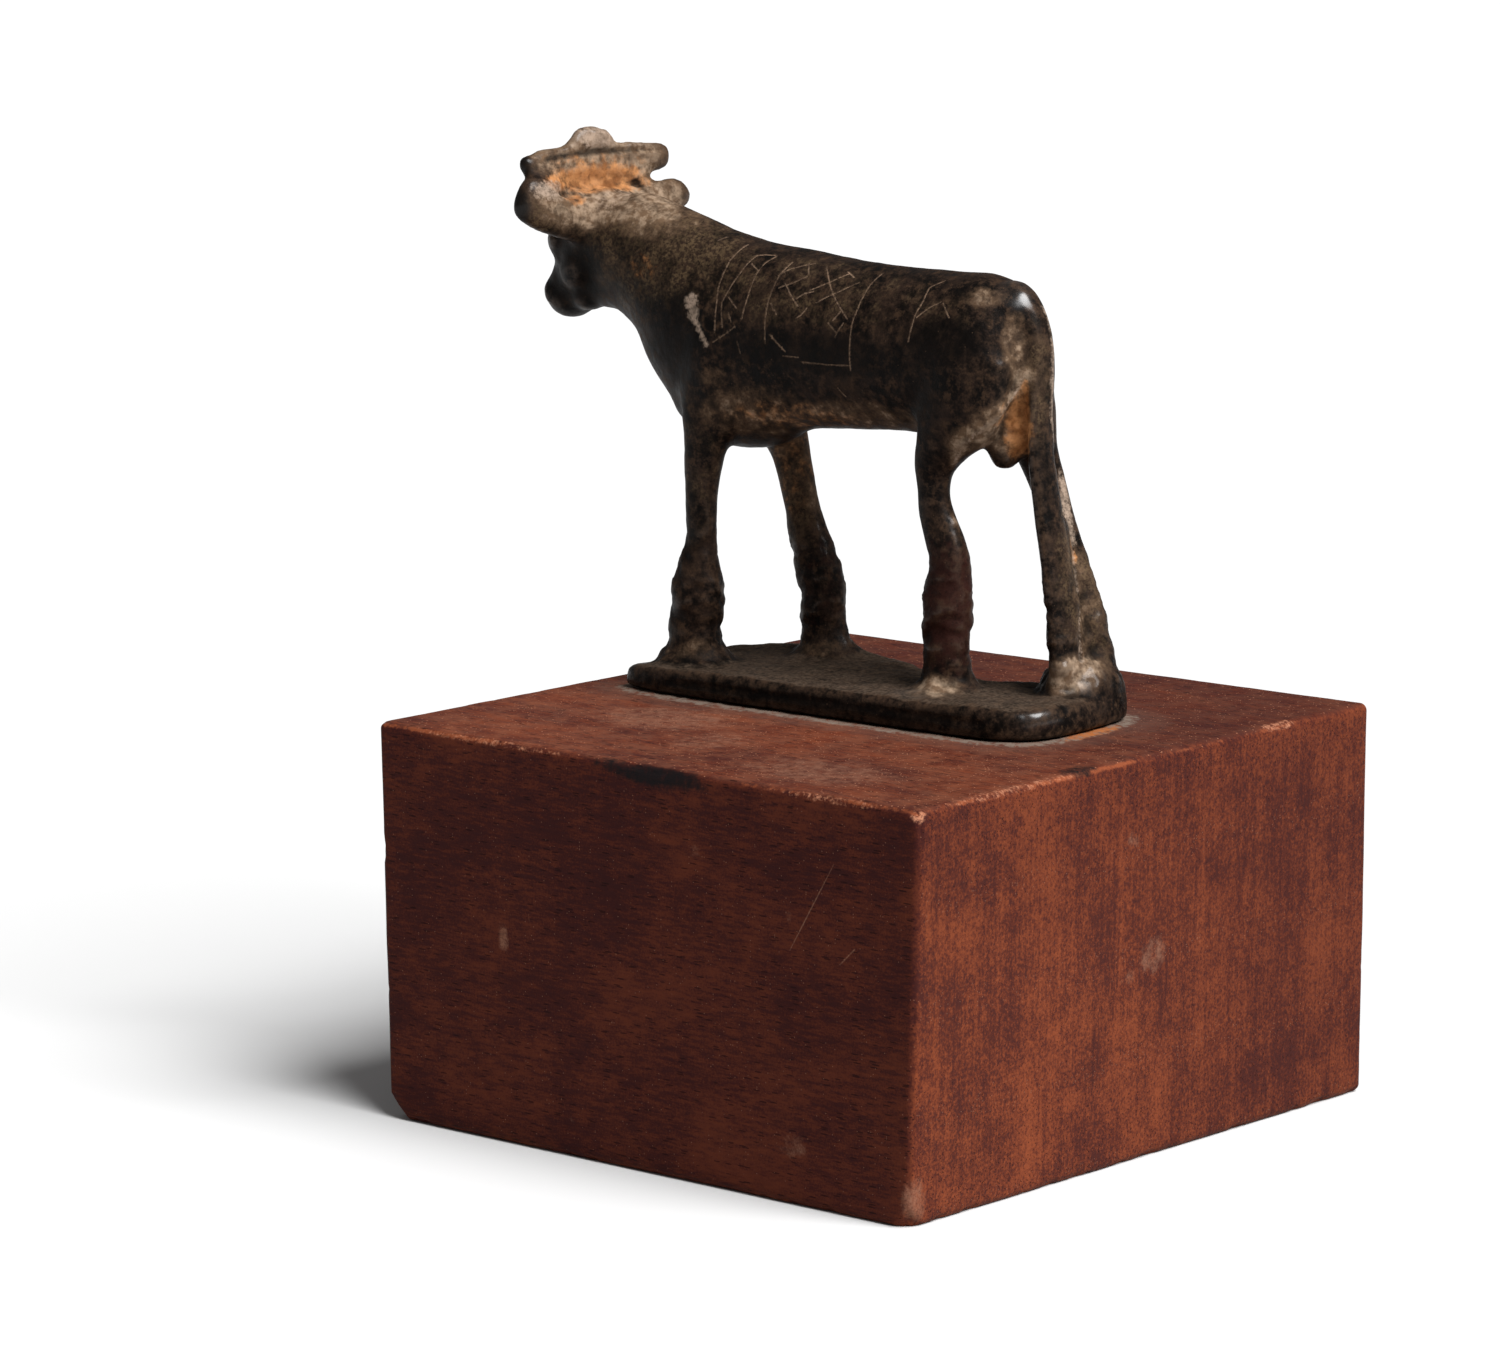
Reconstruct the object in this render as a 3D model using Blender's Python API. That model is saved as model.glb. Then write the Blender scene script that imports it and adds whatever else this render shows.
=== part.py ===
"""A small cast bronze bull of the Apis kind on its own cast plate, set on a hand-cut hardwood block.

Metres, +Z up, +X the way the bull walks, +Y its left side. The origin is the middle of the block's underside.
The bull, its plate, horns, ears and tail are one casting. The block is the second piece, and the casting
rests on it.
"""

import math

import bmesh
import bpy
import numpy as np
from mathutils import Euler, Matrix, Vector

# The wooden block
BLOCK_LENGTH = 0.0700
BLOCK_WIDTH = 0.0689
BLOCK_HEIGHT = 0.0398
BLOCK_EDGE = 0.0007
BLOCK_END_LEAN = 0.0011  # each end slopes in this far from top to bottom, as the saw left it
BLOCK_SIDE_LEAN = -0.0006
BLOCK_SHORT_CORNER = 0.0024  # the corner to the right of the head is cut this much short each way
BLOCK_CHIP_HEAD = 0.0030  # the broken lower corner under the head, measured along each edge
BLOCK_CHIP_RUMP = 0.0022  # the worn lower corner under the rump

# The cast figure
BULL_HEIGHT = 0.0519  # from the plate's top to the broken top of the disc
PLATE_THICKNESS = 0.0030
PLATE_FRONT_DROP = 0.0008  # how much thinner the plate is at its front end
SEAT_GAP = 0.0003  # between the plate's underside and the block

# Where the figure stands on the block
BULL_FORWARD = 0.0020
BULL_ASIDE = -0.0044
BULL_TURN = math.radians(2.0)

# How the head is held
HEAD_TURN = math.radians(-15.0)
HEAD_PITCH = math.radians(54.0)
HEAD_TILT = math.radians(3.4)

# Fineness of the casting's surface
VOXEL = 0.00040
SMOOTHING_PASSES = 4
TRUNK_PASSES = 30  # more on the trunk and neck, whose masses run softly into each other
KEPT_TRIANGLES = 8800

# The free form is written in form units: the bull stands this many of them over its plate. A station is
# (forward, left, up, half_width, half_depth): a place on a limb's axis, measured from the middle of the
# figure at the plate's top, with the half sizes of the oval there.
FORM_UNITS_TALL = 51.9

TORSO = [
    (-14.5, 0.0, 33.0, 5.6, 7.2),
    (-12.0, 0.0, 32.7, 6.1, 7.9),
    (-8.0, 0.0, 32.3, 6.3, 8.2),
    (-2.0, 0.0, 32.3, 6.3, 8.2),
    (5.0, 0.0, 32.2, 6.4, 8.6),
    (11.0, 0.0, 32.2, 6.5, 9.3),
    (16.5, 0.0, 31.4, 6.3, 10.8),
    (20.0, 0.0, 31.6, 5.5, 10.6),
    (22.0, 0.0, 31.6, 4.2, 8.6),
]
NECK = [
    (15.0, 0.0, 31.4, 6.2, 10.2),
    (19.0, 0.0, 32.0, 6.2, 10.1),
    (22.8, 0.0, 34.3, 5.8, 9.4),
    (26.6, -0.1, 37.0, 5.2, 7.5),
    (30.3, -0.2, 39.2, 4.8, 6.1),
    (33.5, -0.1, 40.3, 4.4, 5.6),
    (36.0, 0.0, 41.4, 3.6, 3.8),
]
THROAT = [
    (30.5, 0.0, 35.0, 3.4, 3.3),
    (33.5, -0.1, 36.2, 3.0, 3.0),
    (36.5, -0.4, 36.2, 2.4, 2.9),
    (39.5, -0.8, 37.0, 2.0, 2.5),
]
BRISKET = [(22.4, 0.0, 28.0, 3.8, 3.4), (22.6, 0.0, 25.0, 3.9, 3.9), (22.4, 0.0, 23.6, 3.0, 3.0)]
FORE_LEFT = [
    (19.0, 3.6, 29.0, 2.6, 4.2),
    (19.5, 4.1, 24.0, 2.2, 3.2),
    (19.8, 4.4, 20.9, 1.9, 2.4),
    (20.2, 4.6, 15.8, 1.5, 1.8),
    (20.1, 4.6, 11.7, 1.5, 1.8),
    (20.5, 4.6, 9.6, 1.9, 2.2),
    (20.6, 4.6, 6.6, 2.5, 2.9),
    (21.0, 4.6, 3.5, 2.4, 2.8),
    (21.2, 4.6, 0.0, 2.6, 3.0),
]
FORE_RIGHT = [
    (18.0, -3.4, 28.0, 2.6, 4.2),
    (16.6, -3.8, 23.0, 2.1, 2.9),
    (15.6, -4.0, 20.0, 1.8, 2.3),
    (14.3, -4.0, 15.2, 1.6, 1.9),
    (13.5, -4.0, 12.2, 1.8, 2.2),
    (12.5, -4.0, 9.3, 2.1, 2.6),
    (11.6, -4.0, 6.3, 2.1, 2.5),
    (11.6, -4.0, 3.3, 2.1, 2.5),
    (11.1, -4.0, 0.0, 2.2, 2.8),
]
HIND_LEFT = [
    (-13.4, 3.4, 33.0, 2.8, 4.8),
    (-12.4, 4.0, 28.0, 2.6, 4.8),
    (-10.4, 4.2, 24.6, 2.2, 3.3),
    (-9.2, 4.2, 22.0, 1.8, 2.4),
    (-9.1, 4.2, 20.0, 1.5, 1.9),
    (-9.3, 4.2, 17.6, 1.5, 1.9),
    (-10.6, 4.2, 14.2, 1.7, 2.1),
    (-11.1, 4.2, 12.3, 1.9, 2.2),
    (-10.7, 4.2, 9.8, 2.2, 2.6),
    (-10.7, 4.2, 6.8, 2.2, 2.6),
    (-10.6, 4.2, 3.8, 2.1, 2.5),
    (-10.6, 4.2, 0.0, 2.3, 2.8),
]
HIND_RIGHT = [
    (-12.6, -3.4, 33.0, 2.7, 4.4),
    (-13.6, -4.2, 27.0, 2.3, 3.8),
    (-14.8, -4.8, 22.6, 1.9, 2.4),
    (-15.8, -5.0, 20.0, 1.6, 2.1),
    (-17.3, -5.0, 16.2, 1.6, 1.7),
    (-18.6, -5.0, 12.3, 1.8, 1.9),
    (-20.0, -5.0, 8.5, 1.8, 2.1),
    (-21.1, -5.0, 4.6, 2.0, 2.3),
    (-21.5, -5.0, 0.0, 2.1, 2.4),
]
TAIL = [
    (-15.6, 0.0, 39.6, 1.2, 0.8),
    (-16.9, 0.0, 38.8, 1.5, 0.9),
    (-18.2, 0.0, 37.0, 1.6, 0.9),
    (-18.9, 0.0, 34.5, 1.7, 1.1),
    (-19.1, 0.0, 31.0, 1.8, 1.1),
    (-18.9, 0.0, 27.0, 1.8, 0.9),
    (-19.0, 0.0, 23.5, 1.8, 0.9),
    (-19.5, 0.0, 20.0, 1.9, 1.0),
    (-20.2, 0.0, 16.0, 2.0, 1.0),
    (-20.9, -0.1, 12.0, 2.2, 1.1),
    (-21.5, -0.2, 8.0, 2.3, 1.2),
    (-21.8, -0.3, 4.0, 2.4, 1.3),
    (-22.0, -0.4, 0.0, 2.6, 1.6),
]
TAIL_WEB = [  # the metal left between the tail's lower half and the right hind leg
    (-19.3, -2.4, 17.0, 1.2, 0.5),
    (-20.2, -2.5, 12.0, 1.4, 0.6),
    (-20.9, -2.6, 8.0, 1.6, 0.8),
    (-21.4, -2.7, 4.0, 1.8, 1.1),
    (-21.6, -2.7, 0.0, 2.0, 1.6),
]
SCROTUM = [(-14.4, 0.4, 26.0, 1.6, 1.9), (-14.8, 0.4, 23.4, 1.7, 1.7), (-14.8, 0.4, 22.0, 1.3, 1.3)]
CROTCH = [(-15.0, -0.8, 30.0, 3.2, 2.6), (-15.6, -1.4, 26.4, 3.0, 2.2), (-15.6, -1.6, 23.4, 2.2, 1.6)]

PLATE_OUTLINE = [  # (forward, left), waisted between the right feet
    (26.6, 8.8),
    (24.4, 10.3),
    (17.9, 11.1),
    (8.0, 11.2),
    (-3.0, 11.2),
    (-13.0, 11.2),
    (-20.0, 10.9),
    (-23.6, 9.6),
    (-25.3, 7.0),
    (-25.8, 3.0),
    (-25.6, -1.5),
    (-25.0, -5.6),
    (-23.0, -8.2),
    (-20.0, -8.0),
    (-16.6, -5.0),
    (-11.0, -2.2),
    (-4.0, -3.4),
    (3.8, -6.2),
    (11.5, -8.0),
    (16.5, -6.6),
    (21.2, -5.4),
    (24.2, -3.4),
    (25.4, 0.5),
    (25.2, 5.0),
]

# The head's stations run from the poll to the muzzle: (along the face, left, out from the face, ...).
POLL = (37.0, 0.1, 42.9)
HEAD = [
    (-2.0, 0.0, -1.2, 3.0, 2.8),
    (0.4, 0.0, -1.0, 4.0, 3.6),
    (3.0, 0.0, -0.9, 3.9, 3.9),
    (5.4, 0.0, -0.9, 3.4, 3.6),
    (7.4, 0.0, -0.9, 2.8, 3.0),
    (9.5, 0.0, -0.9, 2.8, 2.7),
    (11.1, 0.0, -1.0, 2.4, 2.2),
]
# The crown's stations are (forward, left, up, ...) from the poll, held level and turned with the head.
HORN_BAR = [
    (0.6, 9.1, 5.0, 0.8, 1.0),
    (0.6, 7.0, 5.2, 0.9, 1.4),
    (0.6, 3.5, 5.5, 1.0, 1.5),
    (0.6, 0.0, 5.6, 1.1, 1.7),
    (0.6, -4.0, 5.6, 1.1, 1.7),
    (0.6, -8.0, 5.7, 0.9, 1.4),
]
DISC_STUB = [(0.7, 0.8, 5.0, 3.6, 0.9), (0.7, 0.7, 7.0, 3.2, 0.9), (0.7, 0.5, 8.4, 2.1, 0.8)]
CROWN_POST = [(-0.2, 0.0, 0.6, 4.4, 1.6), (0.2, -0.2, 2.6, 5.9, 1.1), (0.4, 0.2, 5.0, 6.8, 0.9)]
EAR_LEFT = [
    (-1.4, 0.0, -1.2, 1.6, 2.2),
    (-1.4, 4.4, -0.2, 1.6, 2.5),
    (-1.1, 8.0, 1.2, 1.4, 2.7),
    (-0.8, 10.1, 2.0, 1.0, 2.2),
]
EAR_RIGHT = [
    (-1.2, -0.5, -0.4, 1.5, 2.1),
    (-1.1, -4.6, 0.5, 1.4, 2.1),
    (-0.9, -8.0, 1.8, 1.2, 2.0),
    (-0.7, -9.9, 1.5, 0.8, 1.1),
]

FORWARD = Vector((1.0, 0.0, 0.0))
LEFTWARD = Vector((0.0, 1.0, 0.0))


def unit():
    """The length of one form unit in metres."""
    return BULL_HEIGHT / FORM_UNITS_TALL


def smooth_rows(rows, steps=4):
    """The stations joined by a Catmull-Rom curve, `steps` to a span, with both ends kept."""
    rows = np.asarray(rows, float)
    padded = np.vstack([2 * rows[0] - rows[1], rows, 2 * rows[-1] - rows[-2]])
    t = np.linspace(0, 1, steps, endpoint=False)[:, None]
    spans = []
    for a, b, c, d in zip(padded, padded[1:], padded[2:], padded[3:]):
        straight = 2 * b + (c - a) * t
        bent = (2 * a - 5 * b + 4 * c - d) * t**2 + (3 * b - a - 3 * c + d) * t**3
        spans.append(0.5 * (straight + bent))
    return np.vstack([*spans, rows[-1:]])


def domed(rows):
    """The stations with a rounded end added beyond each end, two rings to a dome."""
    ended = [*rows]
    for at, place in ((0, 0), (-1, len(rows) + 2)):
        end = rows[at]
        inner = rows[1 if at == 0 else -2]
        away = end[:3] - inner[:3]
        away = away / np.linalg.norm(away)
        reach = 0.6 * min(end[3:])
        rings = []
        for lean in (math.radians(35), math.radians(65)):
            shrunk = end[3:] * math.cos(lean)
            rings.append(np.concatenate([end[:3] + away * reach * math.sin(lean), shrunk]))
        if at == 0:
            ended = [rings[1], rings[0], *ended]
        else:
            ended = [*ended, rings[0], rings[1]]
    return np.array(ended)


def loft(mesh, rows, place=Matrix(), across=LEFTWARD, around=20):
    """Adds a closed tube of ovals through the stations, half_width lying along `across`."""
    rows = domed(smooth_rows(rows))
    path = rows[:, :3]
    tangents = np.gradient(path, axis=0)
    rings = []
    for centre, tangent, (half_width, half_depth) in zip(path, tangents, rows[:, 3:]):
        heading = Vector(tangent).normalized()
        wide = (across - heading * across.dot(heading)).normalized()
        deep = heading.cross(wide)
        ring = []
        for step in range(around):
            angle = math.tau * step / around
            aside = wide * (half_width * math.cos(angle))
            spot = Vector(centre) + aside + deep * (half_depth * math.sin(angle))
            ring.append(mesh.verts.new((place @ spot) * unit()))
        rings.append(ring)
    for lower, upper in zip(rings, rings[1:]):
        for step in range(around):
            after = (step + 1) % around
            mesh.faces.new((lower[step], lower[after], upper[after], upper[step]))
    mesh.faces.new(rings[0][::-1])
    mesh.faces.new(rings[-1])


def egg(mesh, centre, radii, place=Matrix()):
    """Adds a closed ellipsoid."""
    shape = Matrix.Translation(Vector(centre)) @ Matrix.Diagonal((*radii, 1.0))
    scaled = Matrix.Scale(unit(), 4) @ place @ shape
    bmesh.ops.create_uvsphere(mesh, u_segments=24, v_segments=14, radius=1.0, matrix=scaled)


def head_place():
    """From the face's own axes, at the poll, to the figure's."""
    turn = Euler((HEAD_TILT, HEAD_PITCH, HEAD_TURN), "XYZ").to_matrix().to_4x4()
    return Matrix.Translation(Vector(POLL)) @ turn


def crown_place():
    """From the crown's axes, at the poll and level but for the tilt, to the figure's."""
    turn = Euler((HEAD_TILT, 0.0, HEAD_TURN), "XYZ").to_matrix().to_4x4()
    return Matrix.Translation(Vector(POLL)) @ turn


def add_body(mesh):
    """The trunk, neck, legs and tail."""
    trunk = (TORSO, NECK, THROAT, BRISKET, SCROTUM, CROTCH)
    limbs = (FORE_LEFT, FORE_RIGHT, HIND_LEFT, HIND_RIGHT, TAIL, TAIL_WEB)
    for rows in trunk + limbs:
        loft(mesh, rows)
    egg(mesh, (-12.0, 0.0, 32.8), (6.9, 6.2, 7.9))
    egg(mesh, (-15.4, 0.0, 36.3), (3.3, 3.4, 3.5))
    for side in (1, -1):
        egg(mesh, (18.0, 3.7 * side, 30.0), (4.6, 3.0, 8.2))
        egg(mesh, (-12.4, 3.4 * side, 30.6), (4.8, 3.2, 7.4))


def add_head(mesh):
    """The face with its brows, cheeks and muzzle, and the horns, disc stub and ears."""
    place = head_place()
    loft(mesh, HEAD, place)
    egg(mesh, (10.0, 0.0, -0.9), (1.7, 3.2, 2.6), place)
    egg(mesh, (7.4, 0.0, -3.4), (2.2, 2.2, 2.0), place)
    for side in (1, -1):
        egg(mesh, (3.8, 2.6 * side, 0.7), (2.2, 1.6, 1.9), place)
        egg(mesh, (4.8, 2.2 * side, -2.6), (2.8, 1.5, 2.0), place)
    crown = crown_place()
    loft(mesh, HORN_BAR, crown, FORWARD)
    loft(mesh, DISC_STUB, crown)
    loft(mesh, CROWN_POST, crown)
    egg(mesh, (-0.2, 7.2, 3.4), (1.0, 2.2, 1.3), crown)
    loft(mesh, EAR_LEFT, crown, FORWARD)
    loft(mesh, EAR_RIGHT, crown, FORWARD)


def add_mounds(mesh):
    """The low swellings where each foot runs into the plate."""
    for rows in (FORE_LEFT, FORE_RIGHT, HIND_LEFT, HIND_RIGHT):
        forward, left, _, half_width, half_depth = rows[-1]
        egg(mesh, (forward, left, 0.0), (half_depth + 1.0, half_width + 0.9, 1.1))
    egg(mesh, (-21.5, -3.2, -0.2), (3.9, 5.1, 3.6))


def plate_outline(steps=3):
    """The plate's outline in metres, a closed Catmull-Rom curve through its form points."""
    points = np.asarray(PLATE_OUTLINE) * unit()
    t = np.linspace(0, 1, steps, endpoint=False)[:, None]
    spans = []
    for i in range(len(points)):
        a, b, c, d = (points[(i + step) % len(points)] for step in (-1, 0, 1, 2))
        straight = 2 * b + (c - a) * t
        bent = (2 * a - 5 * b + 4 * c - d) * t**2 + (3 * b - a - 3 * c + d) * t**3
        spans.append(0.5 * (straight + bent))
    return [Vector(spot) for spot in np.vstack(spans)]


def add_plate(mesh):
    """The plate with rounded upper edges and a thinner front end; it runs on below and is cut flat later."""
    outline = plate_outline()
    middle = sum(outline, Vector((0.0, 0.0))) / len(outline)
    soft = 0.35 * PLATE_THICKNESS
    levels = [(-1.5 * PLATE_THICKNESS, 0.0), (-soft, 0.0), (-0.3 * soft, 0.3 * soft), (0.0, soft)]
    rings = []
    for height, inset in levels:
        ring = []
        for spot in outline:
            inward = (middle - spot).normalized() * inset
            drop = PLATE_FRONT_DROP * min(1.0, max(0.0, (spot.x / unit() - 16.0) / 10.0)) ** 2
            ring.append(mesh.verts.new((spot.x + inward.x, spot.y + inward.y, height - drop)))
        rings.append(ring)
    for lower, upper in zip(rings, rings[1:]):
        for i in range(len(outline)):
            after = (i + 1) % len(outline)
            mesh.faces.new((lower[i], lower[after], upper[after], upper[i]))
    mesh.faces.new(rings[0][::-1])
    mesh.faces.new(rings[-1])


def new_object(name, mesh):
    """A scene object made from the bmesh, which is freed."""
    data = bpy.data.meshes.new(name)
    mesh.to_mesh(data)
    mesh.free()
    made = bpy.data.objects.new(name, data)
    bpy.context.scene.collection.objects.link(made)
    return made


def bake(target):
    """Replaces the object's mesh by its modifiers' result."""
    graph = bpy.context.evaluated_depsgraph_get()
    data = bpy.data.meshes.new_from_object(target.evaluated_get(graph))
    target.modifiers.clear()
    target.data = data


def ramp(value, start, end):
    """0 before `start`, 1 after `end`, and straight between."""
    return min(1.0, max(0.0, (value - start) / (end - start)))


def trunk_share(spot):
    """How far a form point belongs to the trunk and neck: 1 on them, 0 on face, tail and lower legs."""
    along = ramp(spot.x, -17.5, -15.0) * ramp(spot.x, 38.0, 34.0)
    return along * ramp(spot.z, 15.0, 22.0) * ramp(spot.z, 47.5, 45.5) * ramp(abs(spot.y), 8.5, 6.5)


def fuse(casting):
    """Joins the overlapping shapes into one skin, softens it as wear has, and thins it out."""
    remesh = casting.modifiers.new("fuse", "REMESH")
    remesh.mode = "VOXEL"
    remesh.voxel_size = VOXEL
    soften = casting.modifiers.new("soften", "SMOOTH")
    soften.factor = 0.5
    soften.iterations = SMOOTHING_PASSES
    bake(casting)
    trunk = casting.vertex_groups.new(name="trunk")
    for vert in casting.data.vertices:
        trunk.add([vert.index], trunk_share(vert.co / unit()), "REPLACE")
    blend = casting.modifiers.new("blend", "SMOOTH")
    blend.factor = 0.5
    blend.iterations = TRUNK_PASSES
    blend.vertex_group = trunk.name
    bake(casting)
    thin = casting.modifiers.new("thin", "DECIMATE")
    thin.ratio = min(1.0, KEPT_TRIANGLES / (2 * len(casting.data.polygons)))
    bake(casting)


def cut_flat(mesh, spot, away):
    """Cuts off what lies beyond the plane through `spot` facing `away`, and closes the cut."""
    everything = [*mesh.verts, *mesh.edges, *mesh.faces]
    bmesh.ops.bisect_plane(mesh, geom=everything, plane_co=spot, plane_no=away, clear_outer=True)
    rim = [edge for edge in mesh.edges if edge.is_boundary]
    bmesh.ops.holes_fill(mesh, edges=rim, sides=0)


def make_casting():
    """The bull and its plate, standing on the block."""
    mesh = bmesh.new()
    add_body(mesh)
    add_head(mesh)
    add_mounds(mesh)
    add_plate(mesh)
    bmesh.ops.recalc_face_normals(mesh, faces=mesh.faces[:])
    casting = new_object("bull_casting", mesh)
    fuse(casting)
    mesh = bmesh.new()
    mesh.from_mesh(casting.data)
    cut_flat(mesh, Vector((0.0, 0.0, -PLATE_THICKNESS)), Vector((0.0, 0.0, -1.0)))
    mesh.to_mesh(casting.data)
    mesh.free()
    casting.location = (BULL_FORWARD, BULL_ASIDE, BLOCK_HEIGHT + SEAT_GAP + PLATE_THICKNESS)
    casting.rotation_euler = (0.0, 0.0, BULL_TURN)
    return casting


def make_block():
    """The hardwood block, its ends and sides a little out of square and two lower corners broken."""
    mesh = bmesh.new()
    bmesh.ops.create_cube(mesh, size=1.0)
    for vert in mesh.verts:
        at_foot = vert.co.z < 0
        length = BLOCK_LENGTH - (2 * BLOCK_END_LEAN if at_foot else 0.0)
        width = BLOCK_WIDTH - (2 * BLOCK_SIDE_LEAN if at_foot else 0.0)
        short = BLOCK_SHORT_CORNER if vert.co.x > 0 > vert.co.y else 0.0
        spot = (vert.co.x * length - short, vert.co.y * width + short, (vert.co.z + 0.5) * BLOCK_HEIGHT)
        vert.co = Vector(spot)
    bmesh.ops.bevel(mesh, geom=mesh.edges[:], offset=BLOCK_EDGE, segments=3, profile=0.5, affect="EDGES")
    half_length = BLOCK_LENGTH / 2 - BLOCK_END_LEAN
    half_width = BLOCK_WIDTH / 2 - BLOCK_SIDE_LEAN
    for end, chip in ((1, BLOCK_CHIP_HEAD), (-1, BLOCK_CHIP_RUMP)):
        spot = Vector((end * (half_length - chip), half_width, 0.0))
        cut_flat(mesh, spot, Vector((end, 1.0, -1.0)).normalized())
    return new_object("wood_block", mesh)


def finish(target, name, colour, roughness, metallic):
    """Gives the object its own Principled material."""
    material = bpy.data.materials.new(name)
    material.use_nodes = True
    shader = material.node_tree.nodes["Principled BSDF"]
    shader.inputs["Base Color"].default_value = (*colour, 1.0)
    shader.inputs["Roughness"].default_value = roughness
    shader.inputs["Metallic"].default_value = metallic
    target.data.materials.clear()
    target.data.materials.append(material)


def main():
    for old in list(bpy.data.objects):
        bpy.data.objects.remove(old, do_unlink=True)
    finish(make_casting(), "patinated_bronze", (0.045, 0.030, 0.020), 0.45, 0.6)
    finish(make_block(), "stained_hardwood", (0.110, 0.035, 0.018), 0.55, 0.0)


main()
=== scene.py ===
"""The looks of a small cast bronze bull of the Apis kind on its hand-cut hardwood block.

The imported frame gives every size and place. Lengths are metres in the row frame: +X the way the bull walks,
+Y its left side, +Z up, and the origin in the middle of the block's underside. The places of the bull's
carving are in form units, each a thousandth of a metre, measured from the middle of the figure at its
plate's top. Those of the block's marks are in millimetres in the row frame.
"""

import logging
import math
from dataclasses import dataclass
from enum import Enum
from functools import reduce
from typing import Sequence

import bmesh
import bpy
import numpy as np
from mathutils import Euler, Matrix, Vector


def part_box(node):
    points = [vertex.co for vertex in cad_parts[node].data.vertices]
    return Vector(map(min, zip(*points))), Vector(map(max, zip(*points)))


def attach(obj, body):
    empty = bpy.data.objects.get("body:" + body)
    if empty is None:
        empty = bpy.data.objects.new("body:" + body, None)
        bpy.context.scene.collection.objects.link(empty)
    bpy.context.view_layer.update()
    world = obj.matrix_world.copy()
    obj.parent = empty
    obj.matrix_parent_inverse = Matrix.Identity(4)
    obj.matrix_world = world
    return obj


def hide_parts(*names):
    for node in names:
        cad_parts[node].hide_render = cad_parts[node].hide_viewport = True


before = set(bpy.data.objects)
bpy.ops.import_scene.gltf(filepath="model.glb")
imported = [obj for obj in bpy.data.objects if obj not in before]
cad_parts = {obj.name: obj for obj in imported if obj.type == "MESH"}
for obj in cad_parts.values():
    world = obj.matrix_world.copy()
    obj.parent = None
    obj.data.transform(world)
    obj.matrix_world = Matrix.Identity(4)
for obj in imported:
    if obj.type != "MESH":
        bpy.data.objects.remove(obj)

LOG = logging.getLogger("apis_bull")
MM = 0.001
CASTING = "bull_casting"
BLOCK = "wood_block"

Point = tuple[float, float, float]
Colour = tuple[float, float, float]
# Where a soft change starts, and where it ends.
Span = tuple[float, float]
Socket = bpy.types.NodeSocket
Feed = Socket | float | Sequence[float]
ORIGIN: Point = (0.0, 0.0, 0.0)


class Axes(Enum):
    """Which part's own axes a place on the figure is measured in."""

    BODY = "forward, left and up from the middle of the plate's top"
    CROWN = "the same from the poll, turned and tilted with the head but held level"
    HEAD = "down the face, left and out from the face, from the poll"


class Film(Enum):
    """What lies on the bronze or shows through it, and where shade, a highlight or a reflection is painted on
    it. The value names the mesh attribute that says where.
    """

    TAN = "tan_earth_and_reflection"
    OLIVE = "olive_bloom"
    RUST = "orange_earth"
    RED = "red_brown"
    PALE = "pale_scar_and_highlight"
    DUST = "grey_dust"
    POLISH = "rubbed_bright"
    DEEP = "black_patina"
    SHADE = "painted_shade_end"
    STROKE = "incised_stroke"
    RIDGE = "raised_edge_wear_and_highlight"
    HOLLOW_SHADE = "hollow"


class Mark(Enum):
    """What has marked the wood, and where shade is painted on it. The value names the mesh attribute that
    says where.
    """

    EDGE = "worn_edge"
    BARE = "bare_wood"
    BLACK = "black_stain"
    PALE = "pale_rub"
    PUTTY = "grey_putty"
    DUST = "settled_dust"
    # Painted shade on the sides and the part of the top that the light reaches less.
    SHADE = "painted_side_shade"
    TOP = "upper_side"
    GLUE = "orange_glue"


def hashed(places: np.ndarray, seed: int) -> np.ndarray:
    """A repeatable value from -1 to 1 for each whole-number place.

    Formula: the three numbers times three large primes are combined bit by bit, stirred twice, and the low
    sixteen bits are spread over the range.

    Args:
        places: whole numbers, one row of three for each place.
        seed: another pattern for each seed.

    Returns:
        One value for each row.
    """
    primes = (73856093, 19349663, 83492791)
    key = places[:, 0] * primes[0] ^ places[:, 1] * primes[1] ^ places[:, 2] * primes[2]
    key = (key ^ (seed * 2654435761)) & 0xFFFFFFFF
    for shift, factor in ((15, 2246822519), (13, 3266489917)):
        key = ((key ^ (key >> shift)) * factor) & 0xFFFFFFFF
    return ((key >> 8) & 0xFFFF) / 32767.5 - 1.0


def lattice_noise(points: np.ndarray, cell: float, seed: int) -> np.ndarray:
    """Smooth noise from -1 to 1.

    Formula: the corners of a cubic lattice of side `cell` hold hashed values, and the eight round a point are
    blended by how near it is to each, eased by 3t^2 - 2t^3.

    Args:
        points: one row for each point.
        cell: the lattice's side, in the points' unit.
        seed: another pattern for each seed.

    Returns:
        One value for each point.
    """
    scaled = points / cell
    base = np.floor(scaled).astype(np.int64)
    part = scaled - base
    eased = part * part * (3 - 2 * part)
    total = np.zeros(len(points))
    for corner in range(8):
        step = np.array([corner >> axis & 1 for axis in range(3)])
        share = np.where(step, eased, 1 - eased).prod(axis=1)
        total += share * hashed(base + step, seed)
    return total


def layered_noise(points: np.ndarray, cell: float, layers: int, seed: int) -> np.ndarray:
    """Lattice noise with `layers` sizes added up, each half as large and half as strong as the one before."""
    return sum(lattice_noise(points, cell / 2**k, seed + k) / 2**k for k in range(layers))


def swell(squared: np.ndarray) -> np.ndarray:
    """A soft rise: (1 - q)^2 of a squared distance q measured in radii, and nothing beyond one radius."""
    return np.clip(1 - squared, 0, 1) ** 2


def eased_step(value: np.ndarray, start: float, end: float) -> np.ndarray:
    """0 before `start`, 1 after `end`, and 3t^2 - 2t^3 between."""
    t = np.clip((value - start) / (end - start), 0, 1)
    return t * t * (3 - 2 * t)


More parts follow.
